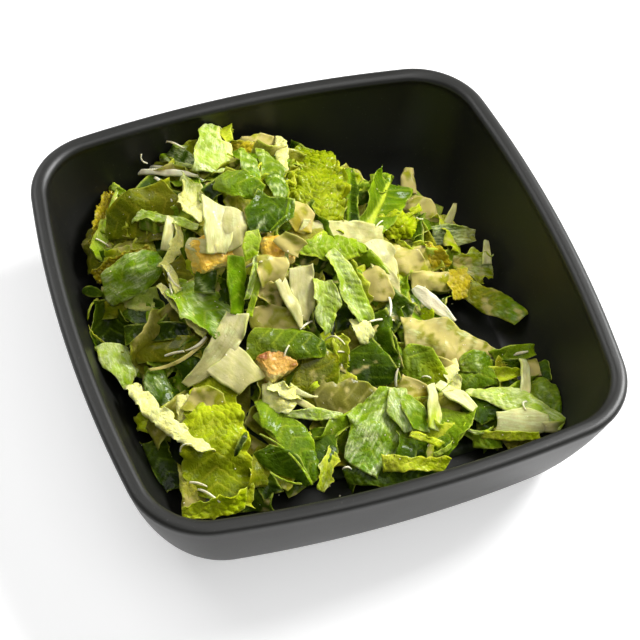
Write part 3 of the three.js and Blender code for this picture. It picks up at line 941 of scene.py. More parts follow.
def joined_leaves(name, shapes, seed):
    """One mesh of many leaves, with their marks and a map of each leaf in centimetres."""
    points, faces, tints, marks, maps = [], [], [], [], []
    first = 0
    for number, shape in enumerate(shapes):
        rng = np.random.default_rng(seed + number)
        middle, tint, mark, thick, flat = leaf_sheet(shape, rng)
        rows, columns = middle.shape[0] - 1, middle.shape[1] - 1
        points.append(two_faces(middle, thick))
        faces.append(closed_faces(rows, columns) + first)
        tints.append(np.tile(tint.reshape(-1, 4), (2, 1)))
        marks.append(np.tile(mark.reshape(-1, 4), (2, 1)))
        place = flat.reshape(-1, 2) * MAP_UNIT + rng.uniform(0, MAP_SHIFT, 2)
        maps.append(np.tile(place, (2, 1)))
        first += len(points[-1])
    piece = mesh_of(name, np.concatenate(points), np.concatenate(faces))
    mesh = piece.data
    for label, values in (("tint", tints), ("marks", marks)):
        layer = mesh.color_attributes.new(label, "FLOAT_COLOR", "POINT")
        layer.data.foreach_set("color", np.concatenate(values).astype(np.float32).ravel())
    corner = np.empty(len(mesh.loops), np.int32)
    mesh.loops.foreach_get("vertex_index", corner)
    mesh.uv_layers.new(name="leaf_map").data.foreach_set("uv", np.concatenate(maps)[corner].ravel())
    print(name, "has", len(shapes), "sheets and", len(mesh.polygons) * 2, "triangles")
    return piece


def mesh_of(name, points, faces):
    mesh = bpy.data.meshes.new(name)
    mesh.from_pydata(points.tolist(), [], faces.tolist())
    mesh.shade_smooth()
    piece = bpy.data.objects.new(name, mesh)
    bpy.context.scene.collection.objects.link(piece)
    return piece


# %% [markdown]
# ## The finish of the leaves
#
# A leaf is not one green. Its tint comes from the sheet: green between the veins, pale along them and at the
# base, yellower at the margin. The shader adds what is too fine for the mesh: the net of small veins, a
# mottle, a painted highlight along each cut edge, a painted wet sheen in pale wisps along the leaf, and the
# dressing, which lies on it as a cream-coloured film that is smoother than the leaf. Light goes into a leaf
# and comes out yellower, which is the little subsurface scattering.

# %% the leaf finish
CREAM = paint(208, 192, 118)
# the colour of the painted highlight along cut edges
CUT_EDGE_HIGHLIGHT = paint(196, 208, 84)
# the colour of the painted wet sheen
SHEEN_COLOUR = paint(222, 232, 168)
DEEPER = (0.6, 0.66, 0.4, 1)
LIGHTER = (1.5, 1.4, 1.5, 1)
FIBRE = (0.8, 0.82, 0.5, 1)
ALONG_FIBRES = (0.16, 1, 1)
ALONG_WISPS = (0.22, 1, 1)


def leaf_finish(name, gloss, glow, fine=1.0, streaks=0.0, deep=0.1):
    """Gloss is its roughness, glow its scattering, fine its net of veins, deep how far blue light goes in."""
    lettuce = new_finish(name)
    flat = lettuce.add("UVMap", {"uv_map": "leaf_map"})
    place = lettuce.place()
    tint = lettuce.layer("tint")
    marks = lettuce.layer("marks")
    vein = lettuce.add("SeparateColor", None, {0: marks})
    cut, dressing, frost = vein.beside("Green"), vein.beside("Blue"), marks.beside("Alpha")
    net = lettuce.net(flat, 5.5)
    fine_net = lettuce.net(flat, 13.0)
    lines = 1 - lettuce.step(net, 0.0, 0.10)
    fine_lines = 1 - lettuce.step(fine_net, 0.0, 0.12)
    mottle = lettuce.noise(place, 260.0, 4.0)
    grain = lettuce.noise(place, 1600.0, 3.0)
    wet = lettuce.step(lettuce.noise(place, 110.0, 2.0), 0.36, 0.6)

    shade = lettuce.blend(0.4 * lettuce.step(mottle, 0.3, 0.75), tint, DEEPER, "MULTIPLY")
    lighter = lettuce.blend(1.0, tint, LIGHTER, "MULTIPLY")
    shade = lettuce.blend((0.2 * lines + 0.07 * fine_lines) * fine, shade, lighter)
    if streaks:
        fibre = lettuce.step(lettuce.noise(flat, 9.0, 3.0, ALONG_FIBRES), 0.42, 0.62)
        shade = lettuce.blend(streaks * fibre, shade, FIBRE, "MULTIPLY")
    # painted highlight along the cut edges
    shade = lettuce.blend(0.55 * cut, shade, CUT_EDGE_HIGHLIGHT)
    film = lettuce.step(dressing + 0.6 * (mottle - 0.5) + 0.3 * (grain - 0.5), 0.1, 1.0)
    shade = lettuce.blend(0.8 * film, shade, CREAM)
    # painted wet sheen: pale wisps along the leaf
    wisps = lettuce.noise(flat, 12.0, 3.0, ALONG_WISPS)
    sheen_share = frost * (0.35 + 0.65 * lettuce.step(wisps, 0.44, 0.58))
    shade = lettuce.blend(0.66 * sheen_share, shade, SHEEN_COLOUR)

    height = 0.36 * lettuce.step(net, 0.0, 0.35) + 0.1 * lettuce.step(fine_net, 0.0, 0.4)
    height = height * (1 - film) * fine + 0.07 * grain + 0.3 * mottle
    return lettuce.set(
        Base_Color=shade,
        Roughness=gloss + 0.25 * (1 - wet),
        Coat_Weight=0.22 * wet,
        Coat_Roughness=0.11,
        Normal=lettuce.bump(height, 0.00045, 0.8),
        Subsurface_Weight=glow,
        Subsurface_Radius=(0.8, 1.0, deep),
        Subsurface_Scale=0.0014,
        Specular_IOR_Level=0.05,
    )


lettuce_leaf = leaf_finish("lettuce_leaf", gloss=0.34, glow=0.3)
lettuce_rib = leaf_finish("lettuce_rib", gloss=0.24, glow=0.4, fine=0.3, streaks=0.45, deep=0.5)
dressed_leaf = leaf_finish("dressed_leaf", gloss=0.24, glow=0.3, fine=0.3, streaks=0.15, deep=0.3)
FINISH_FOR_KIND = {"rib": lettuce_rib, "dressed": dressed_leaf}
print("a leaf's finish has", len(lettuce_leaf.node_tree.nodes), "nodes")

# %% [markdown]
# ## The leaves that show
#
# These are listed one entry for each piece, from the back left of the heap round to the front and
# over to the right. Base and tip are named by where they show in the picture, counted across and down from
# its upper left corner, with their lift over the heap in millimetres. The width is in millimetres too, at the
# base, in the middle and at the tip. Tone darkens or lightens a piece: partly its own colour, and partly
# painted shade on pieces that lie in shade. The sheen setting is a painted wet sheen, in pale streaks.

# %% back left
LEAVES = [
    seen("light", base=(219, 172, 3), tip=(213, 119, 14), width=(21, 14, 1.5), lean=48, toward=-80, bow=3,
         rib=-0.85, rib_width=2.0, frost=0.6, pale=0.2, curl=-25, ruffle=0.5, tone=0.86),
    seen("yellow", base=(229, 143, 6), tip=(223, 117, 13), width=(4, 6, 4), lean=50, curl=50, ruffle=0.7),
    seen("golden", base=(231, 146, 3), tip=(257, 148, 3), width=5, lean=42, ruffle=0.6),
    seen("dressed", base=(241, 145, 3), tip=(279, 146, 4), width=(8, 10, 8), lean=50, curl=-60,
         dressing=0.9, tone=1.3, arch=2, ruffle=1.5),
    seen("cream", base=(280, 137, 8), tip=(284, 172, 5), width=(4, 6, 3), lean=45, frost=0.4, curl=-40),
    seen("mid", base=(246, 153, 6), tip=(254, 180, 6), width=(7, 9, 5), lean=25, toward=-40, frost=0.45,
         curl=-60),
    seen("mid", base=(266, 151, 7), tip=(281, 198, 6), width=(9, 12, 7), lean=27, toward=-40, frost=0.35,
         curl=-70, tone=0.78),
    seen("olive", base=(224, 173, 6), tip=(252, 182, 5), width=5, lean=38, curl=-40),
    seen("mid", base=(219, 178, 8), tip=(264, 193, 8), width=(9, 12, 7), toward=-70, curl=-60, ruffle=1.5,
         tone=0.85),
    seen("dark", base=(222, 184, 3), tip=(206, 198, 2), width=7, lean=30, tone=0.25, curl=80),
    seen("dark", base=(275, 196, 9), tip=(262, 234, 8), width=(15, 18, 8), lean=38, toward=-115, rib=0.7,
         rib_width=0.5, frost=0.1, ruffle=0.4),
    seen("rib", base=(214, 202, 9), tip=(216, 254, 11), width=(10, 13, 7), toward=-60, curl=50, wave=0.5,
         frost=0.5, tone=0.88, slant=(0.3, 0.1)),
    seen("rib", base=(230, 208, 7), tip=(234, 248, 7), width=(9, 12, 8), tone=0.86, curl=-30, frost=0.2),
    seen("rib", base=(188, 243, 11), tip=(216, 249, 11), width=(4, 5, 4), lean=38, tone=0.92, curl=-40,
         thick=1.6),
    seen("cream", base=(189, 216, 5), tip=(190, 180, 6), width=(9, 12, 9), lean=36, toward=-70,
         turns="olive", ruffle=0.9, frost=0.3, tone=0.94),
    seen("dark", base=(157, 149, 4), tip=(204, 170, 5), width=(6, 9, 3), lean=42, toward=-90, rib=-0.75,
         frost=0.5, curl=50, tone=1.1),
    seen("light", base=(163, 146, 7), tip=(186, 149, 7), width=3, lean=40, frost=0.6, curl=-60, tone=0.9),
    seen("light", base=(176, 163, 6), tip=(207, 170, 6), width=1.5, lean=40, frost=0.8, ruffle=0.4),
]

# %% the left wall
LEAVES += [
    seen("olive", base=(176, 197, 5), tip=(107, 226, 5), width=(17, 20, 13), lean=30, toward=-130, arch=2.5,
         curl=-35, ruffle=0.15, pucker=0.25, tone=0.86),
    seen("light", base=(119, 190, 3.5), tip=(102, 233, 3.5), width=2.2, tone=0.72, dressing=0.4, curl=-60),
    seen("light", base=(111, 185, 3), tip=(123, 194, 3.5), width=3.5, tone=0.7),
    seen("olive", base=(166, 231, -1), tip=(105, 240, -1), width=7, tone=0.55, dressing=0.3, pucker=0.4),
    seen("golden", base=(112, 190, 1), tip=(94, 246, 0), width=(6, 7, 4), lean=40, pucker=1.5, tone=0.9,
         ruffle=0.5),
    seen("light", base=(199, 228, 6.5), tip=(136, 216, 7), width=(3, 4, 6), toward=-60, frost=0.5,
         ruffle=1.2, tone=0.9),
    # a near-black sheet: painted shade in the gap under the leaves beside it
    seen("dark", base=(201, 230, 4), tip=(178, 222, 4), width=3, tone=0.2),
    seen("rib", base=(171, 218, 8), tip=(166, 250, 8), width=4, lean=36, frost=0.5, twist=40),
    seen("cream", base=(177, 222, 7), tip=(162, 268, 8), width=(3, 6, 4), toward=-60, curl=60, ruffle=1.3,
         bow=2),
    seen("cream", base=(163, 264, 7), tip=(178, 293, 6), width=4, lean=32, toward=-50, curl=50, frost=0.4),
    seen("olive", base=(174, 262, 1), tip=(188, 298, 1), width=10, lean=32, tone=0.6, pucker=0.5),
    seen("mid", base=(105, 291, 6), tip=(160, 258, 7), width=(13, 18, 14), lean=30, toward=-95,
         outline="finger", curl=-60, ruffle=0.15, pucker=0.5, frost=0.5, tone=1.28, arch=2.5),
    seen("golden", base=(151, 251, 2), tip=(94, 278, 2), width=(5, 9, 6), lean=38, pucker=1.5, tone=0.8,
         ruffle=0.5),
    seen("dark", base=(112, 254, 0), tip=(99, 258, 0), width=5, tone=0.7),
    seen("dark", base=(104, 294, 2), tip=(83, 290, 2), width=4.5, outline="oval"),
    # darkened as painted shade, for the hollow that this curled leaf lies in
    seen("dark", base=(107, 300, 0), tip=(112, 352, -1), width=(13, 21, 14), lean=26, arch=-5, curl=150,
         tone=0.28, ruffle=0.4),
    seen("dark", base=(128, 304, -2), tip=(160, 318, -2), width=12, lean=30, tone=0.5),
    seen("yellow", base=(98, 299, 3), tip=(88, 320, 3), width=0.8, tone=0.5, ruffle=0.3, bow=-1),
    seen("yellow", base=(88, 326, 2), tip=(124, 353, 2), width=0.8, tone=0.4, ruffle=0.3, bow=-1.5),
    seen("dark", base=(126, 336, 0), tip=(188, 330, 1), width=(8, 8, 5), lean=30, toward=-150, tone=0.35),
    seen("olive", base=(134, 356, 2), tip=(205, 342, 2.5), width=(7, 10, 4), lean=30, toward=-150, curl=-40,
         ruffle=0.2, pucker=0.2, tone=0.72),
    seen("mid", base=(170, 287, 5), tip=(229, 332, 5), width=(9, 18, 12), lean=26, toward=-55, frost=0.35,
         curl=40, pale=0.3, tone=1.1),
    seen("cream", base=(158, 284, 7), tip=(206, 335, 6), width=(3, 5, 4), lean=30, toward=-60, curl=60,
         ruffle=0.9, dressing=0.3, bow=-1),
    seen("light", base=(113, 344, 3), tip=(127, 392, 1), width=(14, 13, 3), lean=28, toward=-60, frost=0.75,
         curl=-40, tone=1.1, ruffle=0.5),
    seen("dark", base=(150, 371, 3), tip=(172, 404, 3), width=(11, 15, 8), lean=24, toward=-50, frost=0.3,
         curl=-60, arch=2, tone=1.2),
    seen("dressed", base=(207, 337, 5), tip=(149, 370, 5), width=1.4, bow=3, dressing=1, tone=1.1,
         ruffle=0.3),
    seen("dark", base=(208, 344, 1), tip=(178, 374, 1), width=12, lean=30, tone=0.9),
    seen("rib", base=(237, 313, 6), tip=(186, 384, 4), width=(8, 10, 3), lean=32, frost=0.3, tone=0.84,
         wave=0.5, bow=3.5),
    seen("rib", base=(221, 358, 8), tip=(252, 385, 8), width=(14.5, 14, 13), lean=32, toward=-80, thick=1.9,
         curl=-12, wave=0.2, ruffle=0.1, tone=0.88, slant=(0.05, 0.15)),
]

# %% lower left
LEAVES += [
    seen("cream", base=(130, 384, 5), tip=(210, 452, 10), width=(6, 8, 6), lean=30, toward=-60, frost=0.5,
         ruffle=1.2, curl=-50, tone=1.05, bow=-3),
    seen("cream", base=(183, 396, 6), tip=(185, 425, 5), width=(4, 8, 5), lean=32, toward=-60, curl=-30,
         tone=0.9),
    seen("bullate", base=(211, 376, 5), tip=(219, 500, 1), width=(14, 25, 26), lean=30, arch=4, ruffle=0.35,
         pucker=0.8, smoother=0.97, turns="olive", curl=-25, pale=0.3, tone=1.24, wave=1.4),
    seen("dressed", base=(187, 398, 9), tip=(224, 403, 8), width=(9, 11, 7), lean=30, dressing=0.55,
         tone=1.3, ruffle=1.3, slant=(0.3, -0.4)),
    seen("dark", base=(247, 433, 10), tip=(235, 456, 10), width=3, lean=30, outline="oval", tone=0.15),
    seen("bullate", base=(182, 513, 2), tip=(245, 499, 5), width=(5, 8, 8), lean=50, ruffle=0.7, pucker=1.2,
         tone=1.15),
    # a dim low leaf, darkened as painted shade by the left wall
    seen("dark", base=(150, 440, -4), tip=(178, 490, -6), width=10, lean=30, tone=0.35),
]

# %% front
LEAVES += [
    seen("mid", base=(261, 398, 4), tip=(290, 440, 4), width=(8, 15, 8), lean=27, toward=-30, tone=0.95,
         curl=-50, ruffle=0.5),
    seen("mid", base=(262, 410, 5), tip=(317, 476, 3), width=(9, 13, 7), lean=44, toward=-70, arch=2,
         ruffle=0.5, tone=0.85, curl=-40, bow=2),
    seen("dark", base=(259, 450, 4), tip=(311, 485, 2), width=(9, 10, 3), lean=38, toward=-140, arch=2,
         ruffle=0.3, tone=1.15, curl=-30, bow=1.5),
    seen("light", base=(260, 434, 7), tip=(312, 485, 4), width=0.8, lean=30, bow=2.5, ruffle=0.1),
    seen("light", base=(270, 472, 4), tip=(302, 484, 3), width=0.8, lean=30, bow=-1, ruffle=0.1),
    # a dim low leaf, darkened as painted shade at the front
    seen("dark", base=(264, 478, -1), tip=(274, 496, -2), width=8, lean=32, tone=0.5),
    seen("yellow", base=(333, 452, 3), tip=(322, 491, 1), width=(5, 9, 4), lean=33, fold=50, ruffle=0.6,
         frost=0.4, tone=0.85),
    seen("dark", base=(324, 428, 3), tip=(320, 470, 2), width=(11, 13, 5), lean=30, tone=0.8, curl=-60,
         ruffle=0.3),
    seen("light", base=(283, 414, 5), tip=(344, 415, 5), width=(2, 5, 2), lean=40, toward=-60, frost=0.7,
         ruffle=0.5, curl=40),
    seen("mid", base=(392, 388, 6), tip=(362, 470, 1), width=(11, 25, 15), lean=26, toward=-85, pucker=0.9,
         curl=-50, arch=2.5, tone=1.08, frost=0.55, ruffle=0.5, wave=1.2),
    seen("mid", base=(393, 387, 7), tip=(412, 431, 6), width=(5, 13, 7), lean=22, toward=-55, frost=0.65,
         curl=-60, ruffle=0.3, pucker=0.6),
    seen("mid", base=(403, 396, 6), tip=(420, 430, 6), width=(6, 9, 7), lean=28, toward=-60, frost=0.3,
         tone=0.95),
    seen("yellow", base=(382, 463, 3), tip=(447, 464, 3), width=(7, 5, 6), lean=42, toward=-80, ruffle=0.4,
         tone=0.95),
    seen("dark", base=(346, 477, -2), tip=(442, 474, -3), width=(6, 8, 3), lean=38, tone=0.5),
    seen("yellow", base=(410, 434, 6), tip=(441, 445, 6), width=3, lean=38, toward=-60),
    seen("dark", base=(403, 437, 3), tip=(402, 463, 1), width=9, lean=32, toward=-30, curl=70, tone=0.9),
    seen("dark", base=(425, 438, 2), tip=(420, 463, 1), width=9, lean=32, toward=-170, curl=60, tone=0.7),
    seen("mid", base=(459, 411, 4), tip=(440, 455, 1), width=(16, 15, 6), toward=-150, curl=50, tone=0.85,
         thick=1.4),
    seen("light", base=(433, 455, 4), tip=(466, 425, 6), width=2.2, lean=36, toward=-60, bow=-1.5,
         ruffle=0.3),
    seen("light", base=(465, 428, 6), tip=(493, 427, 5), width=1.5, lean=40, toward=-60, bow=-2, ruffle=0.3,
         frost=0.6),
    seen("rib", base=(431, 385, 8), tip=(434, 429, 6), width=(4, 7, 5), lean=32, toward=-40, turns="yellow",
         curl=-50, frost=0.6, tone=1.1),
    seen("rib", base=(437, 384, 7), tip=(476, 412, 5), width=(4, 7, 3), lean=30, toward=-45, frost=0.9,
         curl=40, ruffle=0.5),
    seen("cream", base=(450, 362, 6), tip=(455, 393, 6), width=(5, 7, 4), frost=0.5, ruffle=1.2, tone=0.9),
    seen("dark", base=(468, 398, 4), tip=(492, 422, 4), width=(10, 12, 8), lean=30, toward=-100, tone=0.85,
         curl=-40),
    seen("light", base=(463, 392, 7), tip=(564, 425, 6), width=(3, 11, 5), lean=24, toward=-45, frost=0.7,
         curl=-30, ruffle=0.3, wave=0.5, pale=0.35, bow=3),
    seen("rib", base=(495, 423, 7), tip=(546, 423, 7), width=(9, 11, 6), lean=40, tone=0.9, toward=-70,
         wave=0.2, ruffle=0.1, curl=-50, frost=0.8, slant=(0.1, 0.3), thick=1.5),
    seen("yellow", base=(482, 434, 4), tip=(540, 435, 5), width=(3, 4, 3), lean=50, wave=0.3, ruffle=0.3,
         tone=0.9),
    seen("rib", base=(542, 427, 6), tip=(564, 426, 5), width=4, lean=40, turns="olive", ruffle=0.7),
    seen("mid", base=(474, 440, 1), tip=(502, 441, 1), width=5.5, lean=40, tone=0.75, ruffle=1.2),
]

# %% right
LEAVES += [
    seen("mid", base=(530, 384, 4), tip=(570, 414, 3), width=(8, 13, 9), lean=28, toward=-75, pucker=1.8,
         frost=0.1, curl=-40, tone=0.75, ruffle=0.8),
    seen("dark", base=(541, 362, 3), tip=(549, 380, 3), width=6, lean=30),
    seen("rib", base=(523, 360, 7), tip=(524, 394, 7), width=(4, 5, 4), toward=-60, curl=40, frost=0.6,
         tone=1.05),
    seen("dressed", base=(530, 360, 4), tip=(536, 377, 4), width=5, lean=30, dressing=1, tone=0.9),
    seen("mid", base=(492, 357, 4), tip=(534, 350, 6), width=(5, 7, 6), lean=38, toward=-120, curl=60,
         tone=0.8, turns="light"),
    seen("dark", base=(498, 366, 1), tip=(522, 366, 1), width=6, tone=0.8),
    seen("yellow", base=(489, 376, 4), tip=(521, 373, 5), width=(8, 7, 3), lean=38, toward=-60, fold=50,
         ruffle=0.4, tone=0.95),
    seen("dark", base=(502, 384, 2), tip=(520, 390, 2), width=6),
    seen("mid", base=(461, 364, 6), tip=(491, 361, 6), width=(7, 10, 7), lean=26, toward=-60, frost=0.25,
         curl=-60, tone=0.72),
    seen("mid", base=(473, 367, 4), tip=(481, 391, 3), width=15, lean=36, toward=-110, tone=0.7, curl=-50),
    seen("dressed", base=(403, 333, 5), tip=(495, 353, 4.5), width=(14, 17, 3), lean=30, toward=-70,
         curl=-35, dressing=0.8, arch=2.5, frost=0.2, tone=1.05, ruffle=0.6, wave=0.6),
    seen("dressed", base=(430, 364, 4), tip=(455, 374, 4), width=8, lean=30, dressing=1, tone=1.1,
         ruffle=1.2),
    seen("mid", base=(403, 354, 5), tip=(446, 382, 5), width=(10, 15, 6), lean=32, toward=-120, tone=0.62,
         turns="yellow", curl=-30, ruffle=0.4),
    seen("dark", base=(378, 327, 5), tip=(396, 371, 5), width=(7, 11, 8), toward=-140, dressing=0.5,
         ruffle=0.4),
    seen("olive", base=(462, 286, 3), tip=(523, 319, 4), width=(8, 11, 8), lean=30, toward=-90,
         dressing=0.3, frost=0.2, turns="mid", curl=-35, tone=1.15, ruffle=0.4),
    seen("golden", base=(458, 270, 3), tip=(460, 298, 3), width=(7, 10, 6), pucker=0.8, tone=1.12,
         ruffle=0.6, dressing=0.3),
    seen("bullate", base=(455, 263, 3), tip=(493, 267, 4), width=(6, 13, 10), toward=-90, dressing=0.5,
         frost=0.5, tone=0.9, pucker=0.8),
    seen("rib", base=(487, 264, 6), tip=(486, 241, 8), width=(4, 3, 2), lean=40, frost=0.4, ruffle=0.3),
]

# %% back right
LEAVES += [
    seen("golden", base=(418, 247, 3), tip=(448, 267, 2), width=(8, 10, 6), lean=36, tone=0.85, pucker=0.6),
    seen("dressed", base=(387, 248, 4), tip=(424, 276, 4), width=(10, 14, 8), lean=32, toward=-90, curl=-40,
         dressing=0.85, tone=1.2, ruffle=1.4),
    seen("dressed", base=(412, 281, 3), tip=(452, 281, 3), width=(8, 9, 7), lean=32, toward=-90, curl=-50,
         dressing=0.8, tone=1.3, ruffle=1.4),
    seen("yellow", base=(399, 241, 6), tip=(421, 258, 6), width=2.5, lean=36, tone=1.1),
    seen("yellow", base=(412, 245, 6), tip=(424, 247, 6), width=5, lean=38, curl=110),
    seen("bullate", base=(379, 224, 5), tip=(420, 227, 6), width=(8, 14, 8), lean=38, toward=-90, arch=2,
         curl=-50, tone=1.05),
    seen("yellow", base=(410, 212, 7), tip=(420, 207, 7), width=3.5, lean=38, ruffle=1.4),
    seen("dressed", base=(409, 194, 2), tip=(408, 167, 7), width=(7, 6, 4), lean=50, tone=1.2, dressing=0.9,
         ruffle=0.8, curl=-40),
    seen("dressed", base=(406, 199, 3), tip=(440, 226, 3), width=(8, 12, 6), lean=36, toward=-95, curl=-45,
         dressing=0.9, tone=1.3),
    seen("mid", base=(368, 229, 5), tip=(390, 184, 6), width=(13, 19, 19), lean=42, toward=-100,
         slant=(0.01, -0.2), fold=40, rib=0.1, rib_width=1.4, pale=0.15, tone=0.72, ruffle=0.3),
    seen("dark", base=(350, 170, 6), tip=(352, 224, 5), width=(4, 6, 6), lean=40, tone=0.7, rib=-0.5,
         ruffle=0.4),
    seen("mid", base=(371, 181, 3), tip=(393, 179, 4), width=(5, 6, 3), lean=45, tone=0.7, curl=-50),
    seen("dark", base=(432, 235, 4), tip=(475, 236, 5), width=(6, 10, 5), toward=-80, frost=0.9, curl=50,
         tone=1.25, turns="dressed"),
    seen("rib", base=(447, 225, 5), tip=(455, 204, 9), width=(4, 3, 1.5), lean=45, tone=0.8, ruffle=0.3),
    seen("bullate", base=(318, 224, 5), tip=(314, 150, 6), width=(22, 26, 15), lean=42, toward=-100, arch=4,
         ruffle=1.1, curl=-35, pale=0.12, tone=0.7, wave=1.5, pucker=1.6, slant=(0.05, 0.05)),
    seen("dressed", base=(294, 202, 4), tip=(303, 231, 4), width=(7, 11, 7), toward=-90, dressing=0.7,
         turns="golden", curl=-40),
]

# %% the middle of the heap
LEAVES += [
    seen("light", base=(296, 250, 8), tip=(366, 246, 8), width=(5, 13, 9), lean=28, toward=-60,
         outline="finger", pale=0.05, curl=-50, tone=0.8, pucker=2),
    seen("rib", base=(302, 226, 5), tip=(384, 238, 7), width=(5, 9, 10), lean=38, toward=-80, ruffle=1.5,
         frost=0.4, tone=1.02, curl=-20, thick=0.5),
    seen("rib", base=(372, 236, 7), tip=(391, 286, 5), width=(11, 12, 9), lean=32, toward=-60, frost=0.45,
         curl=-30, thick=0.5, ruffle=1.3),
    seen("rib", base=(379, 263, 6), tip=(397, 297, 5), width=(4, 5, 3), lean=32, toward=-60, tone=0.95),
    seen("dressed", base=(368, 270, 4), tip=(380, 301, 4), width=(10, 13, 13), lean=32, toward=-110,
         dressing=0.9, tone=0.85, curl=-20),
    seen("light", base=(328, 252, 9), tip=(364, 322, 7), width=(6, 11, 8), lean=26, toward=-45, fold=60,
         frost=0.55, tone=0.9, curl=-30, ruffle=0.5),
    seen("cream", base=(359, 321, 8), tip=(364, 343, 7), width=(7, 9, 4), lean=32, toward=-50, frost=0.7,
         ruffle=0.8),
    seen("light", base=(321, 281, 8), tip=(328, 333, 6), width=(9, 12, 4), lean=28, toward=-45, frost=0.55,
         curl=50, ruffle=1.6, tone=0.85),
    seen("dark", base=(344, 284, 2), tip=(346, 330, 2), width=8, lean=32, tone=0.35),
    seen("rib", base=(279, 279, 9), tip=(301, 327, 7), width=(5, 5.5, 2), toward=-40, frost=0.3, ruffle=0.6,
         tone=0.95, curl=-30),
    seen("rib", base=(301, 268, 7), tip=(303, 322, 6), width=(11, 9, 5), toward=-70, tone=0.76, ruffle=1.3,
         thick=0.5, frost=0.1),
    seen("dressed", base=(271, 256, 10), tip=(272, 283, 7), width=(11, 12, 9), lean=32, toward=-90,
         dressing=0.8, tone=1.3, ruffle=1.2),
    seen("olive", base=(256, 286, 4), tip=(285, 300, 3), width=8, tone=0.8, dressing=0.7, curl=120,
         ruffle=1.4),
    seen("light", base=(252, 232, 11), tip=(252, 258, 11), width=(5, 7, 5)),
    seen("mid", base=(236, 257, 8), tip=(237, 316, 6), width=(7, 8, 6), lean=28, toward=-50, pucker=0.2,
         ruffle=0.15, wave=0.4, pale=0.05, curl=-30, tone=1.3),
    seen("light", base=(256, 250, 9), tip=(246, 300, 8), width=2.6, lean=32, toward=-50, fold=50, frost=0.7,
         ruffle=0.3),
    seen("light", base=(260, 256, 7), tip=(249, 316, 6), width=3, lean=30, toward=-60, ruffle=0.4,
         tone=0.9),
    seen("dark", base=(250, 276, 4), tip=(245, 312, 4), width=4, lean=30, tone=0.2),
    seen("light", base=(288, 240, 9), tip=(286, 268, 8), width=1.5, frost=0.9, ruffle=0.2),
    seen("dressed", base=(247, 320, 3), tip=(302, 318, 4), width=(8, 11, 8), lean=36, toward=-100,
         dressing=0.6, tone=1.3, ruffle=1.3),
    seen("mid", base=(248, 343, 8), tip=(326, 348, 7), width=(12, 14, 6), lean=26, toward=-110, arch=2.5,
         curl=-50, tone=0.5, frost=0.12, ruffle=0.2, pucker=0.5, turns="mid"),
    seen("cream", base=(261, 397, 5), tip=(294, 404, 6), width=(9, 12, 8), lean=32, toward=-80, curl=-20,
         ruffle=2.0, frost=0.5, wave=1.6),
    seen("cream", base=(268, 386, 7), tip=(302, 396, 7), width=(5, 7, 4), lean=30, toward=-60, ruffle=2.2,
         frost=0.6, tone=1.08, twist=40, wave=1.6),
    seen("rib", base=(290, 387, 6), tip=(318, 397, 6), width=3, outline="tri", frost=0.5, bow=-1),
    seen("rib", base=(297, 400, 5), tip=(316, 410, 5), width=2.6, outline="finger", tone=1.05),
    seen("yellow", base=(310, 389, 5), tip=(318, 384, 6), width=2.5, curl=120, ruffle=1.2),
    seen("yellow", base=(340, 337, 5), tip=(345, 364, 5), width=7, curl=130, ruffle=1.2, tone=0.7),
    seen("olive", base=(298, 364, 3), tip=(338, 388, 3), width=20, lean=30, toward=-110, tone=0.9,
         dressing=0.22, curl=-30, ruffle=0.5, pucker=0.3, wave=0.5),
    seen("dark", base=(350, 350, 3), tip=(378, 388, 3), width=20, lean=30, toward=-130, tone=0.66,
         dressing=0.12, curl=-30, ruffle=0.5, pucker=0.3, wave=0.5),
    seen("dressed", base=(316, 399, 3), tip=(378, 404, 3), width=(12, 18, 11), lean=28, toward=-90,
         curl=-40, dressing=0.25, tone=0.46, arch=2, ruffle=0.6, wave=0.6),
    seen("dressed", base=(400, 383, 4), tip=(428, 397, 4), width=8, lean=28, dressing=0.8, turns="golden",
         tone=0.85),
    seen("dark", base=(388, 300, 3), tip=(410, 318, 3), width=11, lean=32, dressing=0.4, frost=0.4),
    seen("dark", base=(196, 280, 4), tip=(215, 282, 4), width=9, tone=0.8, frost=0.2),
    seen("dark", base=(300, 255, 3), tip=(325, 265, 3), width=10, tone=0.5, dressing=0.3),
    seen("dressed", base=(280, 236, 11), tip=(301, 250, 11), width=(6, 8, 7), lean=36, dressing=0.9,
         ruffle=1.6),
    seen("dressed", base=(226, 246, 5), tip=(246, 256, 5), width=6, lean=36, dressing=0.8, tone=0.95,
         ruffle=2.0),
]
print(len(LEAVES), "leaves are placed by hand")

# %% [markdown]
# ## The leaves between
#
# Under and between the pieces that show lie many more, which are seen only as glimpses in the gaps and on
# the back slope. They are placed by a seeded draw over the heap's outline, a little lower than the others,
# so that they fill gaps and cover nothing. A few deep hollows between the leaves stay free of them.

# %% the outline of the heap in plan
HEAP_EDGE = np.array([
    (86, -46), (62, -30), (48, -10), (66, 2), (80, 12), (76, 38), (68, 60), (44, 72), (16, 88), (-20, 92),
    (-52, 88), (-74, 74), (-84, 44), (-86, 8), (-84, -26), (-76, -66), (-44, -70), (-10, -72), (28, -76),
    (80, -74),
], float)


def in_heap(x, y):
    """Whether a place lies inside the outline, by the crossings of a line to the right."""
    a, b = HEAP_EDGE, np.roll(HEAP_EDGE, -1, axis=0)
    spans = (a[:, 1] > y) != (b[:, 1] > y)
    climb = np.where(b[:, 1] == a[:, 1], 1, b[:, 1] - a[:, 1])
    crossing = a[:, 0] + (y - a[:, 1]) * (b[:, 0] - a[:, 0]) / climb
    return bool(np.sum(spans & (x < crossing)) % 2)


print("the heap's outline has", len(HEAP_EDGE), "corners")

# %% the hollows that stay free, by where they show in the picture
HOLLOWS_SHOW = [
    (120, 322), (142, 318), (152, 470), (172, 462), (247, 296), (214, 196),
    (312, 411), (402, 452), (372, 476), (548, 370), (436, 292),
]
HOLLOWS = [on_heap(across, down, 0) for across, down in HOLLOWS_SHOW]
HOLLOW_RADIUS = 8


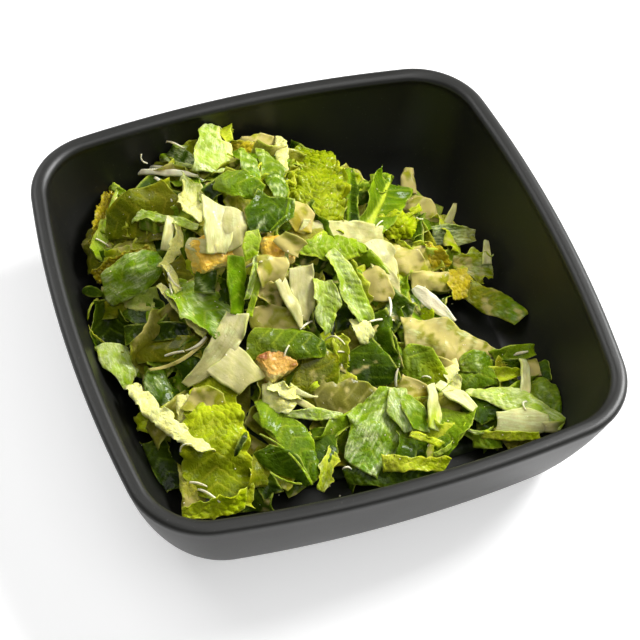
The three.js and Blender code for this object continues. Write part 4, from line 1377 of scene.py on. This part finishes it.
def to_hollow(x, y):
    """How far the nearest hollow is, in millimetres."""
    return min(math.hypot(x - hollow[0], y - hollow[1]) for hollow in HOLLOWS)


print("the nearest hollow is", round(to_hollow(*HEAP_PEAK)), "mm from the peak")

# %% the leaves between, by a seeded draw
DRAW_ACROSS = (-84, 84)
DRAW_ALONG = (-74, 90)
BACK_STARTS = HEAP_PEAK[1] + 22
RIGHT_STARTS = 60
FILL_GRAIN = 1.16
FILL_KINDS = ["dark", "mid", "olive", "dark", "light", "mid", "dressed", "olive", "yellow", "dressed"]


def fill_leaves(count, seed, lowest, highest, back=False):
    """Leaves at drawn places, at lifts from the lowest to the highest, over the heap or on its back slope."""
    rng = np.random.default_rng(seed)
    shapes = []
    while len(shapes) < count:
        x, y = rng.uniform(*DRAW_ACROSS), rng.uniform(*DRAW_ALONG)
        behind = y > BACK_STARTS or x > RIGHT_STARTS
        if not in_heap(x, y) or (back and not behind) or to_hollow(x, y) < HOLLOW_RADIUS:
            continue
        turn = rng.uniform(0, 2 * math.pi)
        length = rng.uniform(16, 26)
        end = (x + length * math.cos(turn), y + length * math.sin(turn))
        if not in_heap(*end) or to_hollow((x + end[0]) / 2, (y + end[1]) / 2) < HOLLOW_RADIUS:
            continue
        lift = rng.uniform(lowest, highest)
        downhill = math.degrees(math.atan2(y - HEAP_PEAK[1], x - HEAP_PEAK[0]))
        shapes.append(leaf(
            kind=str(rng.choice(FILL_KINDS)),
            base=(x, y, lift),
            tip=(*end, lift + rng.uniform(-1, 1)),
            width=rng.uniform(10, 19),
            lean=rng.uniform(15, 65),
            toward=downhill if back else FRONT + rng.uniform(-50, 50),
            arch=rng.uniform(-2, 4),
            curl=rng.uniform(-90, 90),
            tone=rng.uniform(0.65, 1.05),
            grain=FILL_GRAIN,
            dressing=rng.uniform(0, 0.35),
            rib=rng.choice([None, None, 0.2]),
            twist=rng.uniform(-40, 40),
        ))
    return shapes


between = fill_leaves(count=175, seed=11, lowest=-5.5, highest=0.0)
behind = fill_leaves(count=26, seed=12, lowest=-1.5, highest=1.5, back=True)
print(len(between), "leaves lie between and", len(behind), "on the back slope")

# %% build the leaves, one joined mesh for each kind
salad_pieces = []
for number, kind in enumerate(KINDS):
    shapes = [shape for shape in LEAVES if shape["kind"] == kind]
    piece = joined_leaves(f"{kind}_leaves", shapes, 100 * number)
    piece.data.materials.append(FINISH_FOR_KIND.get(kind, lettuce_leaf))
    salad_pieces.append(piece)
for name, shapes, seed in (("leaves_between", between, 2000), ("leaves_behind", behind, 3000)):
    piece = joined_leaves(name, shapes, seed)
    piece.data.materials.append(lettuce_leaf)
    salad_pieces.append(piece)
print("the leaves are", len(salad_pieces), "pieces")

# %% [markdown]
# ## The imported core
#
# Under the leaves the heap is packed lettuce that hardly any light reaches. A ring is set on the heap's
# outline at the floor, extruded up and inwards over the hill, and closed at the top. It keeps light from
# falling through the heap. Its near-black green is painted shade, so that the gaps between the leaves read
# as deep shadow.

# %% the core
CORE_SPOKES = 72
CORE_MIDDLE = -6 + 8j
CORE_DEPTH = 8.5
CORE_FOOT = FLOOR_HEIGHT + 0.4 * MM
CORE_LOWEST = FLOOR_HEIGHT + 0.6 * MM
CORE_FOOT_SHARE = 0.8
CORE_SHARES = (0.86, 0.9, 0.88, 0.84, 0.78, 0.7, 0.6, 0.5, 0.4, 0.3, 0.2, 0.1)
HOLLOW_DIP = 7
CORE_WALL_GAP = 0.5 * MM


def core_ring(share):
    """The heap's outline in even steps, shrunk to a share of its size, as complex numbers in millimetres."""
    closed = np.vstack([HEAP_EDGE, HEAP_EDGE[:1]])
    steps = np.concatenate([[0], np.cumsum(np.hypot(*np.diff(closed, axis=0).T))])
    at = np.linspace(0, steps[-1], CORE_SPOKES, endpoint=False)
    ring = np.interp(at, steps, closed[:, 0]) + 1j * np.interp(at, steps, closed[:, 1])
    return CORE_MIDDLE + (ring - CORE_MIDDLE) * share


def core_height(spot, share):
    """How high the core is over a place in plan: under the hill, and lower at its foot and in each hollow."""
    dip = HOLLOW_DIP * float(rise(2 * HOLLOW_RADIUS, 0.5 * HOLLOW_RADIUS, to_hollow(spot.real, spot.imag)))
    hill = float(heap_height(spot.real, spot.imag)) - CORE_DEPTH - dip
    return max(CORE_LOWEST, hill * MM * (1 - 0.5 * share**6))


core = first_ring("packed_core", CORE_SPOKES)
set_selected(core, core_ring(CORE_FOOT_SHARE) * MM, CORE_FOOT)
bpy.ops.mesh.edge_face_add()
for share in CORE_SHARES:
    bpy.ops.mesh.extrude_edges_move()
    ring = core_ring(share)
    set_selected(core, ring * MM, [core_height(spot, share) for spot in ring])
bpy.ops.mesh.edge_face_add()
close_piece(core)
print("the core has", len(core.data.polygons), "faces")

# %% lumps in the core, which stay clear of the wall
LUMP_SIZE = 0.012
LUMP_PUSH = 0.004
lumps = bpy.data.textures.new("lumps", "CLOUDS")
lumps.noise_scale = LUMP_SIZE
lumpy = core.modifiers.new("lumps", "DISPLACE")
lumpy.texture = lumps
lumpy.texture_coords = "LOCAL"
lumpy.strength = LUMP_PUSH
lumpy.mid_level = 0.6
bpy.ops.object.modifier_apply(modifier="lumps")
lumped = np.empty(len(core.data.vertices) * 3)
core.data.vertices.foreach_get("co", lumped)
core.data.vertices.foreach_set("co", push_inside(lumped.reshape(-1, 3), CORE_WALL_GAP).ravel())
bpy.ops.object.shade_smooth()


def core_finish():
    deep = new_finish("packed_lettuce_in_shade")
    place = deep.place()
    patch = deep.step(deep.noise(place, 120.0, 3.0), 0.35, 0.65)
    # painted shade: near-black greens, as dark as the deep gaps between the leaves look
    tone = deep.blend(patch, paint(22, 34, 6), paint(48, 62, 10))
    folds = deep.noise(place, 220.0, 4.0, (1, 0.35, 1))
    return deep.set(Base_Color=tone, Roughness=0.5 + 0.2 * patch, Normal=deep.bump(folds, 0.002, 0.8))


core.data.materials.append(core_finish())
salad_pieces.append(core)
print("lumps of", round(LUMP_SIZE / MM), "mm push the core in and out by up to", round(LUMP_PUSH / MM), "mm")

# %% [markdown]
# ## Croutons
#
# A crouton is a cube of bread, toasted in oil. Its corners are worn, its faces are torn and full of small
# holes, and only the outermost crumb is browned. A cube is bevelled and subdivided, pushed in and out by a
# coarse cloud for its uneven form and by a finer one for the crumb, and turned into its place.

# %% one crouton
BREAD_CLOUDS = {"form": 0.007, "crumb": 0.0016}
BREAD_PUSH = {"form": 2.8 * MM, "crumb": 0.9 * MM}
BREAD_TEXTURES = {}
for label, size in BREAD_CLOUDS.items():
    BREAD_TEXTURES[label] = bpy.data.textures.new("bread_" + label, "CLOUDS")
    BREAD_TEXTURES[label].noise_scale = size
BREAD_TEXTURES["crumb"].noise_depth = 3
WORN_EDGE = 2.2 * MM


def crouton(name, size, turn, shift):
    """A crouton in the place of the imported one. The shift moves it through the clouds: no two are alike."""
    low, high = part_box(name)
    centre = (low + high) / 2
    deselect_all()
    bpy.ops.mesh.primitive_cube_add(size=1, location=shift)
    piece = bpy.context.object
    piece.name = name.replace("crouton", "toasted_crouton")
    bpy.ops.object.mode_set(mode="EDIT")
    bpy.ops.mesh.select_all(action="SELECT")
    bpy.ops.transform.resize(value=[side * MM for side in size])
    bpy.ops.mesh.bevel(offset=WORN_EDGE, segments=3, affect="EDGES")
    bpy.ops.mesh.subdivide(number_cuts=5)
    bpy.ops.object.mode_set(mode="OBJECT")
    smooth = piece.modifiers.new("soft", "SUBSURF")
    smooth.levels = smooth.render_levels = 2
    bpy.ops.object.modifier_apply(modifier="soft")
    bpy.ops.object.transform_apply(location=True, rotation=True, scale=True)
    for label, strength in BREAD_PUSH.items():
        push = piece.modifiers.new(label, "DISPLACE")
        push.texture = BREAD_TEXTURES[label]
        push.texture_coords = "GLOBAL"
        push.strength = strength
        push.mid_level = 0.5
        bpy.ops.object.modifier_apply(modifier=label)
    turned = Matrix.Rotation(turn[1], 4, "Z") @ Matrix.Rotation(turn[0], 4, "X")
    piece.data.transform(Matrix.Translation(centre) @ turned @ Matrix.Translation(-Vector(shift)))
    bpy.ops.object.shade_smooth()
    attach(piece, "root")
    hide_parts(name)
    return piece


CROUTONS = {
    "crouton_1": dict(size=(16, 14, 13.5), turn=(0.5, 0.2)),
    "crouton_2": dict(size=(13, 12, 13), turn=(0.6, -0.1)),
    "crouton_3": dict(size=(15, 12, 12), turn=(0.4, 0.3)),
}
croutons = [
    crouton(name, shift=(0.1 * number, 0.05, 0.02), **form)
    for number, (name, form) in enumerate(CROUTONS.items())
]
print("a crouton has", len(croutons[0].data.polygons), "faces")


# %% toasted bread
def bread_finish(name, crumb, toast, burnt):
    bread = new_finish(name)
    place = bread.place()
    broad = bread.noise(place, 130.0, 3.0)
    fine = bread.noise(place, 900.0, 4.0)
    up = bread.add("SeparateXYZ", None, {0: bread.add("NewGeometry", output="Normal")}, "Z")
    browned = bread.step(broad + 0.28 * up + 0.25 * (fine - 0.5), 0.42, 0.72)
    dark = bread.step(broad + 0.2 * up + 0.35 * (fine - 0.5), 0.70, 0.92)
    tone = bread.blend(browned, crumb, toast)
    tone = bread.blend(dark, tone, burnt)
    # painted shade: the low places of the fine crumb, where its bump sinks, are darkened
    tone = bread.blend(0.5 * bread.step(fine, 0.62, 0.4), tone, (0.8, 0.74, 0.6, 1), "MULTIPLY")
    return bread.set(
        Base_Color=tone,
        Roughness=0.55 + 0.25 * fine,
        Coat_Weight=0.25 * browned,
        Coat_Roughness=0.25,
        Normal=bread.bump(fine, 0.0006, 0.7),
        Subsurface_Weight=0.15,
        Subsurface_Radius=(1.0, 0.6, 0.3),
        Subsurface_Scale=0.0015,
    )


golden = bread_finish("bread_golden", paint(250, 232, 130), paint(236, 192, 48), paint(184, 128, 24))
amber = bread_finish("bread_amber", paint(250, 232, 150), paint(214, 164, 58), paint(150, 84, 20))
for piece, finish in zip(croutons, (golden, golden, amber)):
    piece.data.materials.append(finish)
print("the croutons are", [piece.data.materials[0].name for piece in croutons])

# %% [markdown]
# ## Cheese
#
# Hard cheese is cut in thin shards and grated in shreds. A shard is a slab with a sharp broken edge, and a
# shred is a narrow strip that bends. Both are thin sheets like the leaves, without veins, so the same
# function makes them, with a finish of their own.

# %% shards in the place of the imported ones
KINDS["cheese"] = dict(body=(250, 240, 200), pale=(250, 244, 216), margin=(252, 248, 226), pucker=0.0)
THICKNESS["cheese"] = 1.0


def cheese_finish():
    cheese = new_finish("hard_cheese")
    tint = cheese.layer("tint")
    place = cheese.place()
    grain = cheese.noise(place, 1300.0, 3.0)
    streak = cheese.noise(place, 300.0, 2.0)
    tone = cheese.blend(0.15 * streak, tint, paint(222, 200, 136))
    return cheese.set(
        Base_Color=tone,
        Roughness=0.42 + 0.2 * grain,
        Normal=cheese.bump(grain, 0.0003, 0.6),
        Subsurface_Weight=0.35,
        Subsurface_Radius=(1.0, 0.9, 0.6),
        Subsurface_Scale=0.0012,
    )


hard_cheese = cheese_finish()
SHARDS = {
    "cheese_1": leaf("cheese", base=(44, 4, 5), tip=(56, -15, 6), width=6, lean=45, outline="blade",
                     thick=1.3, ruffle=0.5, grain=0.4),
    "cheese_2": leaf("cheese", base=(-50, 88, 5), tip=(-32, 64, 5), width=2.6, lean=22, outline="finger",
                     thick=1.4, arch=1.0, grain=0.4),
}
for number, (node, shape) in enumerate(SHARDS.items()):
    shard = joined_leaves(node.replace("cheese", "cheese_shard"), [shape], 4000 + number)
    shard.data.materials.append(hard_cheese)
    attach(shard, "root")
    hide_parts(node)


# %% [markdown]
# ### Shreds, crumbs and specks
#
# Grated cheese lies as thin bent shreds. Both ends of a shred rest on what is under them, found in a search
# tree of the finished leaves, so that none hangs in the air. Most are placed where they show, along a line
# of sight, and the rest are dropped from above by a seeded draw. Crumbs are one small lump, modelled once,
# and copied into one mesh at many sizes and turns.

# %% drop points on what is already there
DROP_HEIGHT = 0.12


def search_tree(pieces):
    points, faces = [], []
    for piece in pieces:
        first = len(points)
        points += [vertex.co for vertex in piece.data.vertices]
        faces += [[first + corner for corner in face.vertices] for face in piece.data.polygons]
    return BVHTree.FromPolygons(points, faces)


def landing(tree, x, y):
    """Where a thing dropped at a place in millimetres lands, as x, y and height, or None."""
    spot = tree.ray_cast(Vector((x * MM, y * MM, DROP_HEIGHT)), Vector((0, 0, -1)))[0]
    return None if spot is None else tuple(spot / MM)


def shown_at(tree, across, down):
    """What shows at a place in the picture, as x, y and height in millimetres."""
    return tuple(tree.ray_cast(*sight(across, down))[0] / MM)


# %% shreds: both ends, width and bend
SHREDS = [
    dict(base=(155, 178), tip=(172, 202), width=1.3, bow=1.2),
    dict(base=(147, 163), tip=(141, 154), width=0.5, bow=1.3),
    dict(base=(164, 274), tip=(172, 294), width=0.9, bow=0.6),
    dict(base=(168, 273), tip=(182, 289), width=0.9, bow=-1),
    dict(base=(206, 337), tip=(186, 351), width=0.9, bow=1),
    dict(base=(184, 352), tip=(151, 367), width=0.9, bow=-1.4),
    dict(base=(190, 483), tip=(207, 487), width=0.9, bow=0.5),
    dict(base=(198, 490), tip=(220, 503), width=0.9, bow=0.8),
    dict(base=(494, 361), tip=(528, 352), width=1.2, bow=0.3),
    dict(base=(389, 298), tip=(390, 317), width=1.0, bow=0.5),
    dict(base=(370, 322), tip=(394, 321), width=0.8, bow=0.6),
    dict(base=(396, 387), tip=(398, 369), width=0.9, bow=0.5),
    dict(base=(338, 352), tip=(349, 361), width=0.7, bow=1.6),
    dict(base=(326, 340), tip=(345, 345), width=0.7, bow=2),
    dict(base=(166, 142), tip=(184, 149), width=0.7, bow=0.4),
    dict(base=(284, 358), tip=(289, 346), width=0.6, bow=0.3),
    dict(base=(246, 268), tip=(262, 262), width=0.8, bow=0.4),
    dict(base=(300, 330), tip=(312, 322), width=0.7, bow=0.4),
    dict(base=(150, 168), tip=(203, 181), width=1.4, bow=1.5),
]
SHRED_REST = 0.4


def shred(base, tip, width, bow):
    """A shred between two places given as x, y and height."""
    ends = [(x, y, height - float(heap_height(x, y)) + SHRED_REST) for x, y, height in (base, tip)]
    return leaf("cheese", *ends, width, lean=35, outline="finger", bow=bow, arch=0.8, thick=0.7, grain=0.35,
                ruffle=0.1, curl=0)


def drawn_shreds(tree, count, seed):
    """Shreds dropped from above, where both ends land inside the heap's outline."""
    rng = np.random.default_rng(seed)
    drawn = []
    while len(drawn) < count:
        x, y, turn = rng.uniform(-80, 84), rng.uniform(-72, 86), rng.uniform(0, 2 * math.pi)
        length, width, bow = rng.uniform(3, 8), rng.uniform(0.45, 0.75), rng.uniform(-1.5, 1.5)
        end = (x + length * math.cos(turn), y + length * math.sin(turn))
        rests = [landing(tree, x, y), landing(tree, *end)]
        if in_heap(x, y) and in_heap(*end) and all(rests):
            drawn.append(shred(*rests, width, bow))
    return drawn


heap_tree = search_tree(salad_pieces)
sight_tree = search_tree([*salad_pieces, bowl])
grated = [
    shred(shown_at(sight_tree, *row["base"]), shown_at(sight_tree, *row["tip"]), row["width"], row["bow"])
    for row in SHREDS
]
grated += drawn_shreds(heap_tree, count=7, seed=31)
shreds = joined_leaves("cheese_shreds", grated, 5000)
shreds.data.materials.append(hard_cheese)
salad_pieces.append(shreds)


# %% one crumb
def one_crumb():
    """The points and faces of a lump one unit across: a ball with few faces, pushed out of round."""
    deselect_all()
    bpy.ops.mesh.primitive_ico_sphere_add(subdivisions=2, radius=0.5)
    lump = bpy.context.object
    push = lump.modifiers.new("uneven", "DISPLACE")
    push.texture = bpy.data.textures.new("crumb_form", "CLOUDS")
    push.texture.noise_scale = 0.45
    push.strength = 0.5
    bpy.ops.object.modifier_apply(modifier="uneven")
    points = np.empty(len(lump.data.vertices) * 3)
    lump.data.vertices.foreach_get("co", points)
    faces = np.array([face.vertices[:] for face in lump.data.polygons])
    bpy.data.objects.remove(lump)
    return points.reshape(-1, 3), faces


crumb, crumb_faces = one_crumb()
print("a crumb has", len(crumb_faces), "faces")

# %% crumbs and specks: where they lie, and all of them in one mesh
SPECKS = [
    dict(place=(279, 495), size=0.8),
    dict(place=(340, 496), size=1.0),
    dict(place=(452, 304), size=1.2),
    dict(place=(330, 486), size=0.7),
    dict(place=(346, 430), size=0.6),
    dict(place=(443, 299), size=0.7),
]


def crumb_spots(count, rng):
    """Places and sizes in metres: the specks where they show, and then many that are dropped on the heap."""
    spots = [(np.array(shown_at(sight_tree, *speck["place"])) * MM, speck["size"] * MM) for speck in SPECKS]
    while len(spots) < count:
        x, y = rng.uniform(-84, 84), rng.uniform(-74, 88)
        size = rng.uniform(0.4, 1.0) ** 3 * 0.6 + 0.22
        landed = landing(heap_tree, x, y)
        if landed and in_heap(x, y):
            spots.append((np.array(landed) * MM, size * MM))
    return spots


def turned_crumb(place, size, rng):
    a, b, c = rng.uniform(0, 2 * math.pi, 3)
    turn = np.array(Matrix.Rotation(a, 3, "X") @ Matrix.Rotation(b, 3, "Y") @ Matrix.Rotation(c, 3, "Z"))
    return crumb @ turn.T * size * rng.uniform(0.6, 1.0, 3) + np.array(place)


def crumbs(count, seed):
    """One mesh of many turned crumbs, with the colour of cheese."""
    rng = np.random.default_rng(seed)
    all_points, all_faces = [], []
    for place, size in crumb_spots(count, rng):
        all_faces.append(crumb_faces + len(crumb) * len(all_points))
        all_points.append(turned_crumb(place, size, rng))
    piece = mesh_of("cheese_crumbs", np.concatenate(all_points), np.concatenate(all_faces))
    tints = piece.data.color_attributes.new("tint", "FLOAT_COLOR", "POINT")
    colour = (*shades(KINDS["cheese"])["body"], 1.0)
    tints.data.foreach_set("color", np.tile(np.array(colour, np.float32), len(piece.data.vertices)))
    return piece


cheese_crumbs = crumbs(count=260, seed=41)
cheese_crumbs.data.materials.append(hard_cheese)
salad_pieces.append(cheese_crumbs)
print("there are", len(grated), "shreds and", len(cheese_crumbs.data.polygons), "faces of crumbs")

# %% [markdown]
# ## What stands for what
#
# Every piece rides on the one body of this object, and the imported solid that it stands for is hidden. The
# leaves, the core, the shreds and the crumbs together stand for the heap. The bowl, the croutons and the
# shards of cheese have hidden theirs already.

# %% the salad pieces stand for the imported heap
for piece in salad_pieces:
    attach(piece, "root")
    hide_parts("salad")
print(len(salad_pieces), "pieces stand for the heap")

# %% [markdown]
# ## The floor's finish
#
# The floor is matt pale paper. It gives off a little light of its own, so that it stays as pale as a studio
# table while the bowl still throws a soft shadow on it.


# %% the floor's finish
def floor_finish():
    paper = new_finish("pale_floor")
    tone = paper.blend(paper.noise(paper.place(), 4.0, 1.0), paint(214, 214, 214), paint(218, 218, 218))
    return paper.set(
        Base_Color=tone,
        Roughness=0.9,
        Specular_IOR_Level=0.1,
        Emission_Color=(1.0, 1.0, 1.0, 1.0),
        Emission_Strength=0.52,
    )


floor.data.materials.append(floor_finish())
print("the floor's finish has", len(floor.data.materials[0].node_tree.nodes), "nodes")
